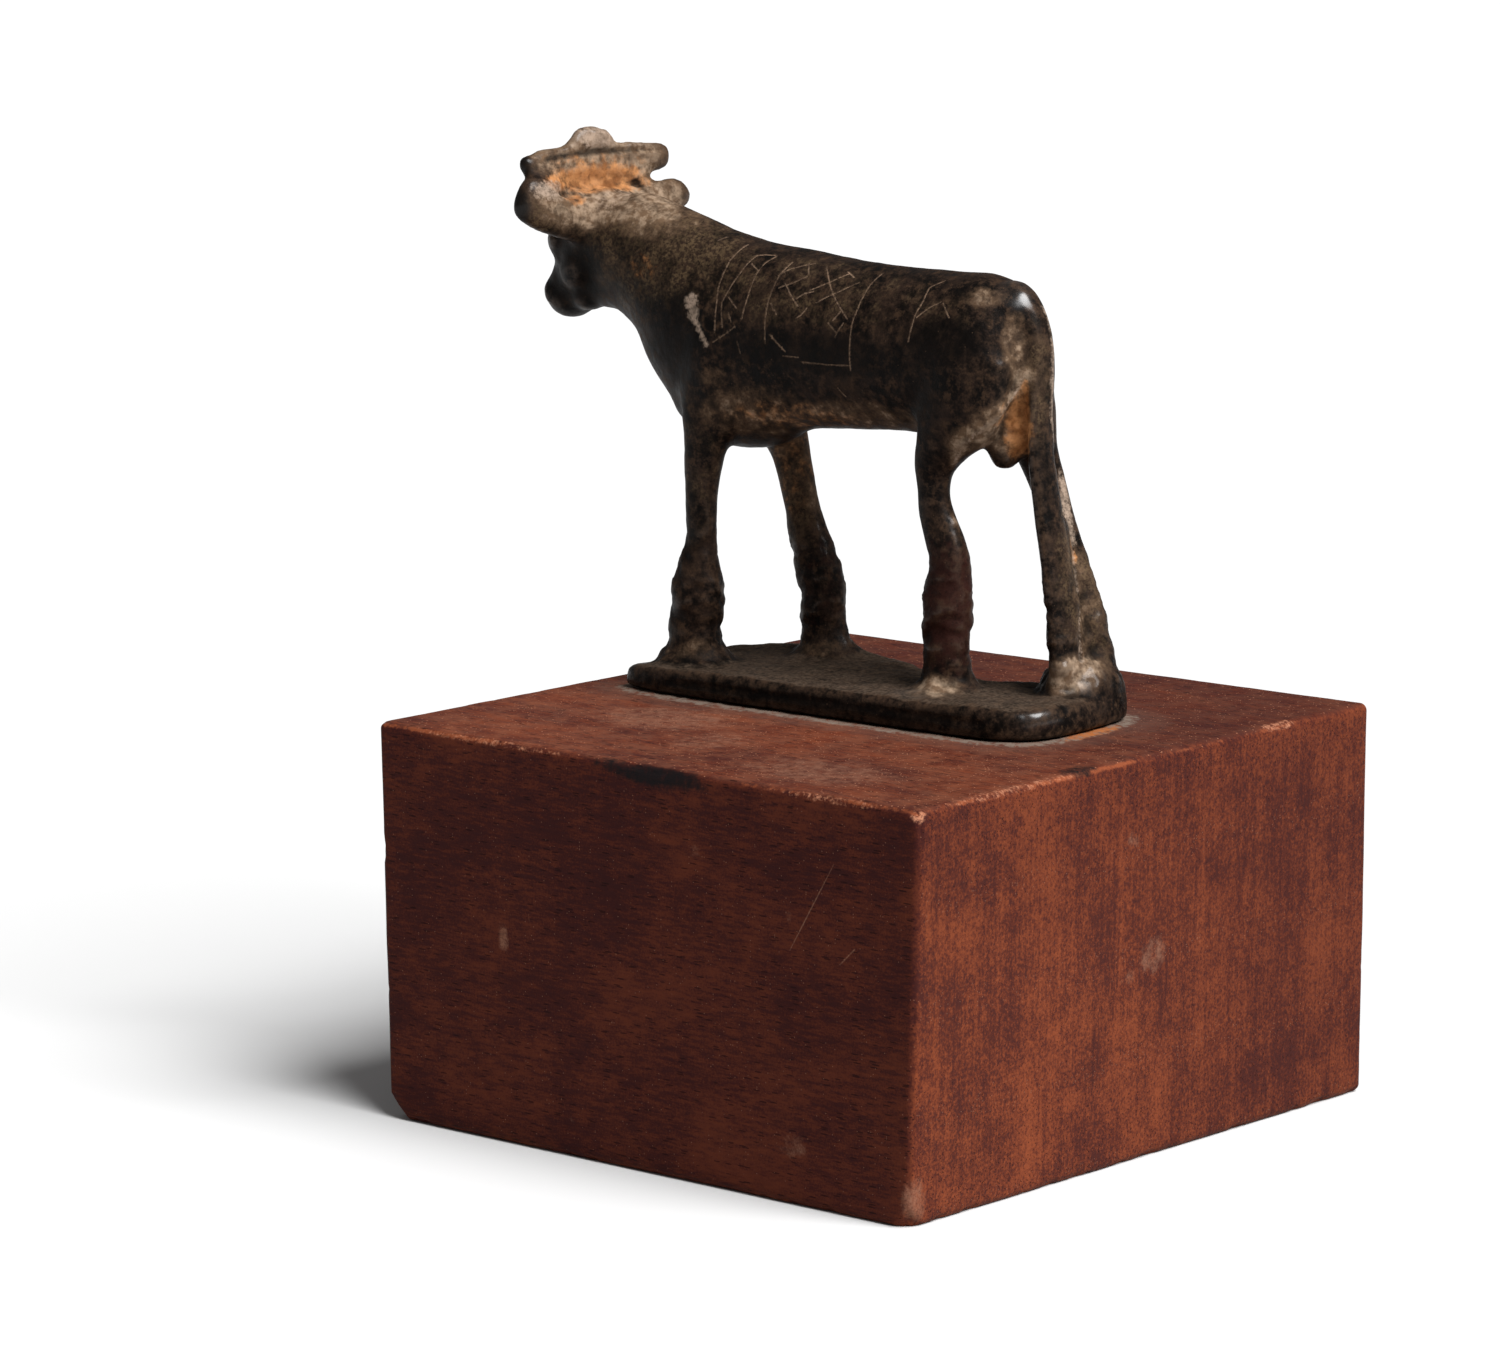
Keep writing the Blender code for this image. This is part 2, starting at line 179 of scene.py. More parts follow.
def line_distance(points: np.ndarray, line: Sequence[Sequence[float]]) -> np.ndarray:
    """How far each point is from a line of straight stretches.

    Formula: each point is dropped onto each stretch, no further than its ends, and the nearest drop counts.

    Args:
        points: one row for each point.
        line: the line's corners, with as many coordinates as the points have.

    Returns:
        One distance for each point.
    """
    nearest = np.full(len(points), np.inf)
    for start, end in zip(np.asarray(line[:-1], float), np.asarray(line[1:], float)):
        along = end - start
        share = np.clip((points - start) @ along / (along @ along), 0, 1)
        gap = points - start - share[:, None] * along
        nearest = np.minimum(nearest, np.sqrt((gap * gap).sum(axis=1)))
    return nearest


def mesh_points(mesh: bpy.types.Mesh) -> np.ndarray:
    """The mesh's points, one row each."""
    flat = np.empty(len(mesh.vertices) * 3, np.float32)
    mesh.vertices.foreach_get("co", flat)
    return flat.reshape(-1, 3).astype(float)


def mesh_normals(mesh: bpy.types.Mesh) -> np.ndarray:
    """The direction that the mesh faces at each point."""
    flat = np.empty(len(mesh.vertices) * 3, np.float32)
    mesh.vertices.foreach_get("normal", flat)
    return flat.reshape(-1, 3).astype(float)


def set_points(mesh: bpy.types.Mesh, points: np.ndarray) -> None:
    """Moves the mesh's points."""
    mesh.vertices.foreach_set("co", points.astype(np.float32).ravel())
    mesh.update()


def neighbour_mean(mesh: bpy.types.Mesh, values: np.ndarray, passes: int) -> np.ndarray:
    """Values softened over the surface.

    Formula: in each pass a point's value becomes half its own and half the mean of those that an edge joins
    to it.

    Args:
        mesh: the surface.
        values: one row, or one number, for each of its points.
        passes: how many times.

    Returns:
        The softened values, in the same shape.
    """
    ends = np.empty(len(mesh.edges) * 2, np.int32)
    mesh.edges.foreach_get("vertices", ends)
    first, second = ends.reshape(-1, 2).T
    degree = np.bincount(ends, minlength=len(mesh.vertices))
    table = values.reshape(len(values), -1).copy()
    for _ in range(passes):
        for column in table.T:
            near = np.bincount(first, column[second], len(column))
            near += np.bincount(second, column[first], len(column))
            column += 0.5 * (near / degree - column)
    return table.reshape(values.shape)


def write_mask(mesh: bpy.types.Mesh, name: str, values: np.ndarray) -> None:
    """Stores one number from 0 to 1 for each point, for a material to read."""
    layer = mesh.attributes.new(name, "FLOAT", "POINT")
    layer.data.foreach_set("value", np.clip(values, 0, 1).astype(np.float32))


def evaluated_mesh(piece: bpy.types.Object) -> bpy.types.Mesh:
    """The object's mesh with its modifiers applied, which are then removed."""
    graph = bpy.context.evaluated_depsgraph_get()
    mesh = bpy.data.meshes.new_from_object(piece.evaluated_get(graph))
    piece.modifiers.clear()
    return mesh


def new_piece(name: str, mesh: bpy.types.Mesh) -> bpy.types.Object:
    """An object in the scene, at the origin, with smooth shading."""
    mesh.shade_smooth()
    piece = bpy.data.objects.new(name, mesh)
    bpy.context.scene.collection.objects.link(piece)
    return piece


@dataclass(frozen=True)
class FigureFrame:
    """Where the figure stands, and the axes that its carving is measured in."""

    forward: float = 0.0020
    aside: float = -0.0044
    turn: float = math.radians(2.0)
    plate: float = 0.0030
    poll: Point = (37.0, 0.1, 42.9)
    head_turn: float = math.radians(-15.0)
    head_pitch: float = math.radians(54.0)
    head_tilt: float = math.radians(3.4)

    def body(self, points: np.ndarray) -> np.ndarray:
        """Points of the row frame, in form units on the body's axes."""
        low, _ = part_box(CASTING)
        origin = np.array((self.forward, self.aside, low.z + self.plate))
        return (points - origin) @ np.array(Matrix.Rotation(self.turn, 3, "Z")) / MM

    def on(self, axes: Axes, body: np.ndarray) -> np.ndarray:
        """Points on the body's axes, given on a part's own.

        Args:
            axes: the part's axes.
            body: one row of forward, left and up for each point.

        Returns:
            The same points on the part's axes.
        """
        if axes is Axes.BODY:
            return body
        pitch = self.head_pitch if axes is Axes.HEAD else 0.0
        turned = Euler((self.head_tilt, pitch, self.head_turn), "XYZ").to_matrix()
        return (body - np.array(self.poll)) @ np.array(turned)


@dataclass(frozen=True)
class Spot:
    """A round place that fades outward: `amount` is what lies in its middle, as a lift or a strength."""

    centre: Point
    radii: Point
    amount: float

    def away(self, points: np.ndarray) -> np.ndarray:
        """Each point's squared distance from the centre, measured in radii."""
        near = (points - np.array(self.centre)) / np.array(self.radii)
        return (near * near).sum(axis=1)

    def rise(self, points: np.ndarray) -> np.ndarray:
        """How much there is at each point: the amount times the swell of the squared distance."""
        return self.amount * swell(self.away(points))


@dataclass(frozen=True)
class Line:
    """A bent line that fades to each side, over its `reach`: `amount` is what lies on it."""

    corners: tuple[Point, ...]
    reach: float
    amount: float

    def away(self, points: np.ndarray) -> np.ndarray:
        """Each point's distance from the line, measured in reaches."""
        return line_distance(points, self.corners) / self.reach

    def rise(self, points: np.ndarray) -> np.ndarray:
        """How much there is at each point: the amount times the swell of the distance squared."""
        return self.amount * swell(self.away(points) ** 2)


@dataclass(frozen=True)
class Grain:
    """Layered noise of one kind: its largest size, how many sizes, its pattern and how strong it is."""

    cell: float
    layers: int
    seed: int
    lift: float = 1.0

    def over(self, points: np.ndarray) -> np.ndarray:
        """The noise at each point."""
        return self.lift * layered_noise(points, self.cell, self.layers, self.seed)


# Lifts and dents of the surface, in form units out of it or, where negative, into it.
DABS = {
    Axes.CROWN: (
        Spot((-0.8, 0.5, 3.5), (1.7, 5.8, 1.3), -0.75),
        Spot((-1.8, 5.2, 2.5), (1.5, 2.2, 1.0), -1.00),
        Spot((-0.8, -3.9, 3.1), (0.8, 0.8, 0.5), -0.80),
        Spot((-0.6, -0.6, 2.9), (1.1, 0.7, 0.5), -0.25),
        Spot((0.4, 8.2, 5.9), (1.3, 0.9, 1.0), -0.16),
        Spot((-0.9, -8.6, 2.4), (1.0, 0.8, 0.9), -0.30),
    ),
    Axes.HEAD: (
        Spot((3.6, 3.9, 0.2), (1.3, 1.3, 1.1), 0.30),
        Spot((3.6, -3.9, 0.2), (1.3, 1.3, 1.1), 0.30),
        Spot((12.0, 1.5, 0.2), (0.9, 0.7, 0.7), -0.45),
        Spot((12.0, -1.5, 0.2), (0.9, 0.7, 0.7), -0.45),
    ),
    Axes.BODY: (
        Spot((20.0, 5.9, 35.1), (0.9, 1.2, 1.3), -0.16),
        Spot((18.8, 6.3, 33.1), (0.6, 1.0, 1.2), -0.10),
        Spot((-25.2, 7.6, -1.0), (2.0, 2.4, 1.4), 0.10),
        Spot((-11.8, 6.3, 8.4), (1.6, 1.2, 1.4), 0.22),
        Spot((-8.6, 4.6, 8.0), (1.0, 1.6, 1.2), 0.18),
        Spot((18.2, 5.4, 6.8), (1.2, 1.6, 1.8), 0.18),
        Spot((11.0, -2.2, 5.2), (1.4, 1.2, 1.4), 0.18),
        Spot((1.0, -3.0, 0.0), (1.6, 1.8, 1.2), 0.34),
        Spot((-10.2, 7.6, 0.4), (2.6, 1.8, 1.4), 0.30),
        Spot((-22.9, 1.4, 2.6), (1.3, 1.6, 1.2), 0.26),
        Spot((-23.6, -1.8, 1.2), (1.4, 1.2, 1.0), 0.22),
        Spot((-23.6, 1.0, 0.2), (1.6, 2.6, 0.7), -0.20),
    ),
}

# Lines that both the relief and the films follow: the tail's outer edge, where the tail runs into the leg,
# and the ridge from the tail round the buttock and down the leg.
TAIL_EDGE = (
    (-18.9, -0.6, 37.6),
    (-20.0, -0.6, 33.7),
    (-20.1, -0.4, 30.7),
    (-19.7, -0.8, 27.0),
    (-19.2, -1.6, 24.0),
)
TAIL_SEAM = (
    (-17.6, -5.1, 20.8),
    (-18.6, -4.7, 17.5),
    (-20.2, -3.6, 13.4),
    (-21.3, -2.7, 10.0),
    (-22.3, -1.9, 7.5),
    (-23.2, -1.0, 3.4),
)
RUMP_RIDGE = (
    (-18.6, 1.9, 31.5),
    (-17.7, 2.4, 29.4),
    (-17.1, 4.2, 27.4),
    (-15.5, 5.4, 25.9),
    (-13.7, 5.6, 24.4),
    (-12.2, 5.0, 22.4),
    (-11.7, 4.2, 16.3),
)

# Grooves and raised lines, with the same lifts.
CREASES = {
    Axes.CROWN: (
        Line(((-0.6, 8.4, 6.0), (-0.6, 4.0, 6.3), (-0.6, -2.0, 6.6), (-0.4, -7.4, 6.7)), 0.65, -0.60),
        Line(((-0.4, 2.0, 7.3), (-0.4, -3.0, 7.4), (-0.3, -7.6, 7.2)), 0.50, 0.14),
    ),
    Axes.HEAD: (
        Line(((11.4, 3.3, -2.4), (9.6, 3.4, -2.3), (7.8, 3.0, -2.0)), 0.45, -0.20),
        Line(((11.4, -3.3, -2.4), (9.6, -3.4, -2.3), (7.8, -3.0, -2.0)), 0.45, -0.20),
    ),
    Axes.BODY: (
        Line(TAIL_EDGE, 0.5, 0.12),
        Line(TAIL_SEAM, 0.5, -0.24),
        Line(RUMP_RIDGE, 0.6, 0.16),
        Line(
            ((-20.0, 11.1, -1.4), (-6.0, 11.3, -1.3), (8.0, 11.3, -1.5), (19.0, 11.2, -1.7)),
            0.45,
            -0.13,
        ),
        Line(((-8.4, 5.6, 5.6), (-10.4, 6.6, 5.2), (-12.6, 6.2, 5.0), (-13.4, 4.4, 5.3)), 0.28, -0.20),
        Line(((-9.4, 6.3, 7.3), (-11.4, 6.6, 7.0), (-13.2, 5.2, 7.3)), 0.25, -0.15),
        Line(((-19.6, 1.9, 24.7), (-20.3, 0.4, 24.5), (-20.2, -1.6, 24.3)), 0.16, -0.06),
    ),
}

# Where each film lies, and how strongly; some stand for painted shade or a painted reflection, as marked.
STAINS = {
    (Film.TAN, Axes.CROWN): (
        Spot((0.2, 0.0, 5.6), (5.0, 9.5, 3.4), 0.95),
        Spot((-2.4, 2.6, 1.2), (4.4, 8.0, 3.0), 0.90),
        Spot((-1.8, -4.6, 1.2), (3.6, 6.0, 3.4), 0.95),
        Spot((-7.5, 0.0, 1.4), (6.5, 4.4, 3.4), 0.85),
    ),
    (Film.TAN, Axes.BODY): (
        Spot((27.2, 1.4, 43.0), (6.0, 3.2, 2.6), 0.55),
        Spot((31.5, 4.2, 38.2), (2.6, 2.4, 1.6), 0.40),
        Spot((-16.0, 2.8, 25.8), (2.8, 3.4, 3.2), 0.80),
        Spot((14.0, -3.4, 18.0), (4.0, 3.0, 9.0), 0.42),
        Spot((-14.8, 3.2, 38.7), (2.8, 1.8, 1.1), 0.62),
        Spot((-17.8, 2.8, 34.2), (1.3, 1.6, 4.2), 0.62),
        Spot((-21.4, -3.2, 9.0), (3.0, 3.4, 9.5), 0.46),
        Spot((-19.4, 0.4, 31.0), (1.6, 1.4, 6.0), 0.36),
        Spot((17.0, 6.3, 28.6), (2.6, 1.4, 1.1), 0.50),
        # Painted reflection: the belly's underside lightened with tan.
        Spot((13.0, 3.6, 25.4), (9.0, 5.0, 3.2), 0.56),
        Spot((1.0, 3.6, 25.8), (10.0, 3.4, 2.2), 0.56),
        Spot((-22.6, -0.8, 2.0), (2.8, 4.6, 2.4), 0.95),
        Spot((-11.2, 7.0, 0.6), (3.4, 2.6, 1.3), 0.85),
        Spot((11.0, -2.6, 0.6), (3.4, 3.0, 1.4), 0.45),
        Spot((20.4, 6.6, 1.0), (3.4, 3.0, 1.4), 0.45),
        Spot((-13.6, -4.0, 37.2), (3.4, 2.0, 1.8), 0.42),
        # Painted reflection on the right of the belly.
        Spot((9.0, -4.4, 26.0), (9.0, 4.0, 2.8), 0.50),
        Spot((24.0, -5.0, 33.0), (3.0, 2.4, 3.4), 0.36),
    ),
    (Film.PALE, Axes.CROWN): (
        Spot((0.2, 0.6, 8.1), (3.0, 3.4, 1.7), 0.80),
        Spot((-0.4, -4.6, 7.2), (2.0, 3.0, 0.5), 0.50),
        Spot((-2.6, 7.2, 2.8), (1.8, 3.0, 1.2), 0.75),
        Spot((-3.4, 0.4, 1.8), (2.2, 3.6, 1.6), 0.34),
    ),
    (Film.OLIVE, Axes.BODY): (
        Spot((26.0, 3.0, 39.6), (11.0, 5.5, 6.4), 0.90),
        Spot((8.0, 4.4, 37.8), (17.0, 4.4, 4.2), 0.46),
        Spot((19.6, 5.2, 18.0), (4.0, 3.0, 8.0), 0.38),
        Spot((-21.6, -2.6, 9.0), (4.0, 4.0, 9.0), 0.80),
        Spot((-19.0, 0.8, 30.0), (1.8, 1.4, 7.0), 0.70),
        Spot((14.8, -3.0, 14.0), (4.0, 4.0, 9.0), 0.55),
        Spot((-12.0, 5.6, 37.6), (6.0, 3.0, 2.6), 0.45),
        Spot((8.0, -4.4, 37.6), (17.0, 4.4, 4.2), 0.50),
        Spot((26.0, -3.4, 38.6), (10.0, 4.5, 6.0), 0.70),
        Spot((-16.0, -4.4, 30.0), (4.0, 3.0, 8.0), 0.50),
    ),
    (Film.OLIVE, Axes.CROWN): (
        Spot((-1.6, 8.0, 0.0), (3.0, 3.4, 2.4), 0.80),
    ),
    (Film.RUST, Axes.CROWN): (
        Spot((-0.9, 0.6, 3.7), (2.2, 6.0, 1.7), 1.0),
        Spot((-1.4, 6.0, 3.3), (1.8, 2.2, 1.0), 0.85),
        Spot((-2.2, 4.6, 2.0), (1.4, 1.4, 1.0), 0.80),
        Spot((-0.3, 0.6, 5.2), (1.6, 7.0, 1.3), 0.32),
    ),
    (Film.RUST, Axes.BODY): (
        Spot((27.3, 4.8, 38.6), (2.2, 1.8, 1.6), 0.26),
        Spot((-17.4, 0.6, 26.4), (1.9, 2.2, 5.0), 1.0),
        Spot((9.0, 3.8, 25.2), (9.0, 4.0, 1.8), 0.30),
        Spot((-16.6, 3.2, 27.6), (1.6, 1.8, 2.0), 0.36),
        Spot((-20.2, -3.6, 13.4), (0.5, 0.6, 1.6), 0.7),
        Spot((14.8, -3.0, 18.5), (3.0, 3.0, 6.0), 0.24),
    ),
    (Film.RED, Axes.BODY): (
        Spot((-11.0, 4.2, 8.2), (4.2, 4.2, 7.0), 1.0),
        Spot((12.2, -4.0, 7.0), (4.0, 4.0, 7.0), 0.4),
    ),
    (Film.DEEP, Axes.BODY): (
        Spot((0.0, -6.2, 31.4), (14.0, 3.0, 2.6), 0.70),
        Spot((4.0, 6.2, 32.0), (17.0, 3.2, 2.3), 0.85),
        Spot((-11.2, 5.6, 34.4), (5.0, 2.8, 2.8), 1.0),
        Spot((-8.8, 6.2, 29.5), (3.0, 2.4, 4.6), 0.65),
        Spot((22.8, 5.2, 31.6), (4.6, 3.4, 6.0), 0.90),
        Spot((31.0, 4.4, 36.4), (3.0, 2.4, 1.6), 0.55),
        Spot((4.0, 1.2, 39.9), (22.0, 3.2, 1.8), 0.40),
        Spot((-19.0, 1.2, 20.4), (2.2, 2.4, 5.4), 0.62),
        Spot((-14.6, 2.0, 21.9), (1.3, 2.0, 1.0), 0.70),
        Spot((0.0, 11.6, -2.2), (32.0, 1.0, 1.9), 0.9),
        Spot((20.3, 5.6, 13.0), (3.4, 2.2, 6.0), 0.5),
    ),
    (Film.PALE, Axes.BODY): (
        Spot((20.3, 5.8, 35.8), (0.95, 1.6, 0.95), 0.9),
        Spot((19.9, 6.0, 34.8), (0.85, 1.6, 0.95), 0.75),
    ),
    (Film.DEEP, Axes.HEAD): (
        Spot((7.0, 1.6, -1.6), (8.5, 4.6, 5.0), 0.95),
    ),
    (Film.POLISH, Axes.BODY): (
        Spot((-17.0, 1.2, 39.2), (2.1, 1.6, 2.0), 1.0),
        Spot((-25.0, 7.6, -1.0), (1.8, 2.4, 1.2), 0.8),
        Spot((26.0, 8.6, -1.0), (1.8, 2.0, 1.2), 0.5),
        Spot((-23.6, 1.0, 2.4), (2.2, 3.6, 1.8), 0.30),
        Spot((-10.0, 8.2, 0.4), (2.6, 2.0, 1.2), 0.25),
    ),
    (Film.POLISH, Axes.CROWN): (
        Spot((-1.6, 10.8, 1.4), (1.6, 1.4, 1.8), 0.30),
    ),
    # Painted shade: the dark left ends of the ear and the horn, which face away from the light, the pit in
    # the recess and the right ear's tip.
    (Film.SHADE, Axes.CROWN): (
        Spot((-1.0, 11.4, 0.4), (2.4, 1.9, 3.6), 1.0),
        Spot((0.3, 9.9, 5.2), (2.0, 1.4, 1.8), 1.0),
        Spot((-0.8, -3.9, 3.1), (0.8, 0.8, 0.6), 1.0),
        Spot((-0.6, -8.9, 1.8), (1.4, 1.0, 0.9), 0.7),
    ),
}

# Where a film, a painted highlight or a painted shadow follows a line.
STREAKS = {
    (Film.TAN, Axes.BODY): (
        Line(RUMP_RIDGE[:5], 2.2, 0.85),
        # A thin tan line on the ridge itself, partly a painted highlight.
        Line(RUMP_RIDGE, 0.7, 0.90),
    ),
    (Film.PALE, Axes.BODY): (
        # These four: pale earth down the rump ridge, the tail's edge and its seam into the leg, and partly a
        # painted highlight along those ridges.
        Line(RUMP_RIDGE, 0.35, 0.60),
        Line(TAIL_EDGE, 0.42, 0.80),
        Line(TAIL_SEAM, 0.50, 0.85),
        Line(((-17.8, -5.1, 20.0), (-18.6, -4.7, 17.5), (-19.8, -4.0, 14.5)), 0.95, 0.85),
        Line(((19.4, 6.1, 34.0), (18.6, 6.4, 32.9), (17.7, 6.6, 31.8)), 0.50, 0.85),
        Line(((-19.6, 1.9, 24.7), (-20.3, 0.4, 24.5), (-20.2, -1.6, 24.3)), 0.14, 0.6),
    ),
    (Film.RUST, Axes.BODY): (
        Line(((-18.4, 1.7, 30.6), (-18.6, 1.6, 26.4), (-18.2, 1.4, 22.8)), 0.6, 0.9),
    ),
    # Painted shadow lines: along the groove under the horn bar, and a shorter one lower on the left.
    (Film.SHADE, Axes.CROWN): (
        Line(((-0.2, 6.9, 5.6), (-0.2, 3.7, 6.1), (-0.3, 0.5, 6.3), (-0.2, -4.2, 6.6)), 0.55, 0.85),
        Line(((-1.0, 8.4, 3.9), (-2.1, 6.2, 2.6), (-2.6, 4.2, 1.6)), 0.34, 0.8),
    ),
}

# The incised net on the left flank, and the curves over the hip. Each stroke is a row of places: how far
# forward, and the angle from the spine in degrees.
NET_STROKES = (
    ((16.2, 10), (16.6, 18), (16.9, 25), (17.1, 34), (17.2, 44), (17.0, 57), (16.8, 80)),
    ((14.2, 18), (15.1, 34), (16.4, 54), (15.9, 75)),
    ((14.1, 25), (12.9, 29)),
    ((14.2, 18), (13.3, 16), (12.0, 15)),
    ((11.9, 16), (12.6, 23), (13.0, 32), (13.1, 46), (13.4, 66)),
    ((9.6, 19), (10.1, 31), (10.4, 50), (10.4, 66), (10.3, 85)),
    ((7.1, 16), (9.2, 24), (10.2, 31)),
    ((7.7, 17), (6.9, 26)),
    ((5.5, 17), (2.8, 40), (0.4, 57)),
    ((2.4, 20), (4.0, 30), (5.8, 38)),
    ((6.9, 28), (8.5, 36), (9.6, 40)),
    ((0.5, 27), (2.3, 36), (4.6, 47)),
    ((5.4, 39), (6.3, 41), (7.1, 46)),
    ((9.0, 36), (8.0, 43), (6.6, 52)),
    ((-1.3, 15), (-0.9, 29), (-0.6, 48), (-0.3, 60), (-0.3, 102)),
    ((15.6, 50), (14.3, 58)),
    ((15.3, 62), (14.8, 70)),
    ((14.2, 73), (16.9, 89)),
    ((13.9, 86), (13.5, 96)),
    ((10.0, 52), (9.1, 60)),
    ((6.7, 61), (6.1, 58), (5.6, 52)),
    ((8.0, 95), (6.1, 95)),
    ((5.7, 99), (2.6, 99), (-0.3, 98)),
    ((2.1, 60), (1.4, 52)),
    ((2.6, 62), (1.4, 70)),
    ((0.8, 61), (1.6, 73)),
    ((9.6, 78), (7.7, 91)),
    ((2.8, 18), (1.5, 23)),
    ((-9.2, 17), (-8.0, 25), (-8.1, 36), (-7.7, 50), (-7.6, 63), (-7.5, 71)),
    ((-10.3, 36), (-9.2, 41), (-8.0, 50)),
    ((-10.6, 37), (-11.9, 48)),
    ((1.7, 120), (1.0, 128)),
    ((19.6, 13), (19.0, 8)),
)


@dataclass
class BronzeFigure:
    """The casting: the bull with its plate, cut finer than the frame's solid, with its worn relief."""

    place: FigureFrame
    grid: float = 0.00032
    softening: int = 7
    sharpening: float = 0.9
    refinings: int = 2
    stroke_reach: float = 0.35
    stroke_width: float = 0.10
    stroke_depth: float = 0.07
    # The barrel that the flank is rolled out from, and what the strokes and the relief are made of.
    barrel_axis: float = 32.0
    barrel_radius: float = 7.2
    barrel_half: float = 22.0
    out_of_reach: float = -9.0
    foot_band: float = 0.35
    rings: Grain = Grain(2.1, 4, 31, 0.21)
    lumps: Grain = Grain(2.4, 4, 47, 0.14)
    swells: Grain = Grain(3.2, 3, 5, 0.050)
    grains: Grain = Grain(0.8, 2, 11, 0.014)
    torn: Grain = Grain(1.0, 3, 41)
    snapped: Grain = Grain(1.3, 3, 43)
    ring_squeeze: Point = (1.0, 1.0, 1.5)
    ring_top: Span = (15.0, 10.0)
    ring_foot: Span = (0.1, 1.0)
    lump_facing: Span = (0.1, 0.7)
    lump_top: Span = (2.0, 0.6)
    pits: Grain = Grain(0.55, 1, 17)
    pit_span: Span = (0.62, 0.95)
    pit_places: Grain = Grain(5.0, 1, 23)
    pit_place_span: Span = (-0.1, 0.5)
    pit_depth: float = 0.05
    folds: int = 15
    fold_wander: Grain = Grain(1.8, 1, 37, 2.4)
    fold_foot: Span = (-2.4, -0.6)
    mound: Spot = Spot((-21.5, -3.2, 0.2), (5.6, 6.8, 4.6), 0.19)
    recess: Spot = Spot((-1.0, 0.8, 3.0), (2.6, 6.2, 2.2), 0.30)
    stub: Spot = Spot((0.4, 0.6, 7.6), (3.0, 9.0, 2.4), 0.22)
    # How the films fade, and where they settle; the last two spans say where the raised edges and the painted
    # shade of the hollows begin.
    stain_span: Span = (1.6, 0.1)
    streak_span: Span = (1.2, 0.1)
    stroke_fade: Grain = Grain(2.0, 2, 61, 0.40)
    stroke_strength: float = 0.80
    stroke_core: float = 0.2
    dust_strength: float = 0.8
    dust_facing: Span = (0.75, 0.97)
    dust_top: Span = (2.2, 0.4)
    bulge_passes: int = 10
    ridge_span: Span = (0.02, 0.10)
    hollow_shade_span: Span = (0.015, 0.08)

    def build(self, material: bpy.types.Material) -> bpy.types.Object:
        """Makes the piece that stands for the casting's node.

        Args:
            material: its finish.

        Returns:
            The finished object.
        """
        mesh = self.fine_mesh()
        self.refine(mesh)
        self.soften(mesh)
        self.carve(mesh)
        self.stain(mesh)
        piece = new_piece("bronze_bull", mesh)
        mesh.materials.clear()
        mesh.materials.append(material)
        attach(piece, "root")
        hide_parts(CASTING)
        LOG.info("%s: %d points, %d faces", piece.name, len(mesh.vertices), len(mesh.polygons))
        return piece

    def fine_mesh(self) -> bpy.types.Mesh:
        """A closed copy of the node's skin on an even, fine grid."""
        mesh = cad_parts[CASTING].data.copy()
        skin = bmesh.new()
        skin.from_mesh(mesh)
        bmesh.ops.remove_doubles(skin, verts=skin.verts, dist=1e-6)
        skin.to_mesh(mesh)
        skin.free()
        worker = bpy.data.objects.new("worker", mesh)
        bpy.context.scene.collection.objects.link(worker)
        remesh = worker.modifiers.new("even", "REMESH")
        remesh.mode = "VOXEL"
        remesh.voxel_size = self.grid
        fine = evaluated_mesh(worker)
        bpy.data.objects.remove(worker)
        return fine

    def soften(self, mesh: bpy.types.Mesh) -> None:
        """Melts the solid's flats without shrinking it: a sharpening follows each softening."""
        points = mesh_points(mesh)
        for _ in range(self.softening):
            softer = neighbour_mean(mesh, points, 2)
            points = softer + self.sharpening * (softer - neighbour_mean(mesh, softer, 2))
        points[:, 2] = np.maximum(points[:, 2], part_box(CASTING)[0].z)
        set_points(mesh, points)

    def flank(self, body: np.ndarray) -> np.ndarray:
        """The left flank rolled out flat.

        Formula: the first number is the place forward, and the second the arc from the spine, which is the
        angle round the barrel's axis times its radius. The right side is put out of reach.

        Args:
            body: points on the body's axes.

        Returns:
            Two numbers for each point.
        """
        angle = np.arctan2(body[:, 1], body[:, 2] - self.barrel_axis)
        here = (body[:, 1] > 0.5) & (np.abs(body[:, 0]) < self.barrel_half)
        angle = np.where(here, angle, self.out_of_reach)
        return np.stack([body[:, 0], angle * self.barrel_radius], axis=1)

    def stroke_distance(self, points: np.ndarray) -> np.ndarray:
        """How far each point is from the nearest incised stroke, over the rolled-out flank."""
        unrolled = self.flank(self.place.body(points))
        nearest = np.full(len(points), np.inf)
        for stroke in NET_STROKES:
            line = [(ahead, math.radians(angle) * self.barrel_radius) for ahead, angle in stroke]
            nearest = np.minimum(nearest, line_distance(unrolled, line))
        return nearest

    def refine(self, mesh: bpy.types.Mesh) -> None:
        """Halves the grid near the strokes, as often as `refinings` says."""
        for _ in range(self.refinings):
            close = self.stroke_distance(mesh_points(mesh)) < self.stroke_reach
            skin = bmesh.new()
            skin.from_mesh(mesh)
            skin.verts.ensure_lookup_table()
            edges = [e for e in skin.edges if close[e.verts[0].index] and close[e.verts[1].index]]
            bmesh.ops.subdivide_edges(skin, edges=edges, cuts=1, use_grid_fill=True)
            bmesh.ops.triangulate(skin, faces=[f for f in skin.faces if len(f.verts) > 4])
            skin.to_mesh(mesh)
            skin.free()

    def ringed(self, body: np.ndarray) -> np.ndarray:
        """Lumps and uneven rings on the lower legs and mounds: noise squeezed to two thirds in height."""
        share = eased_step(body[:, 2], *self.ring_top) * eased_step(body[:, 2], *self.ring_foot)
        return share * self.rings.over(body * np.array(self.ring_squeeze))

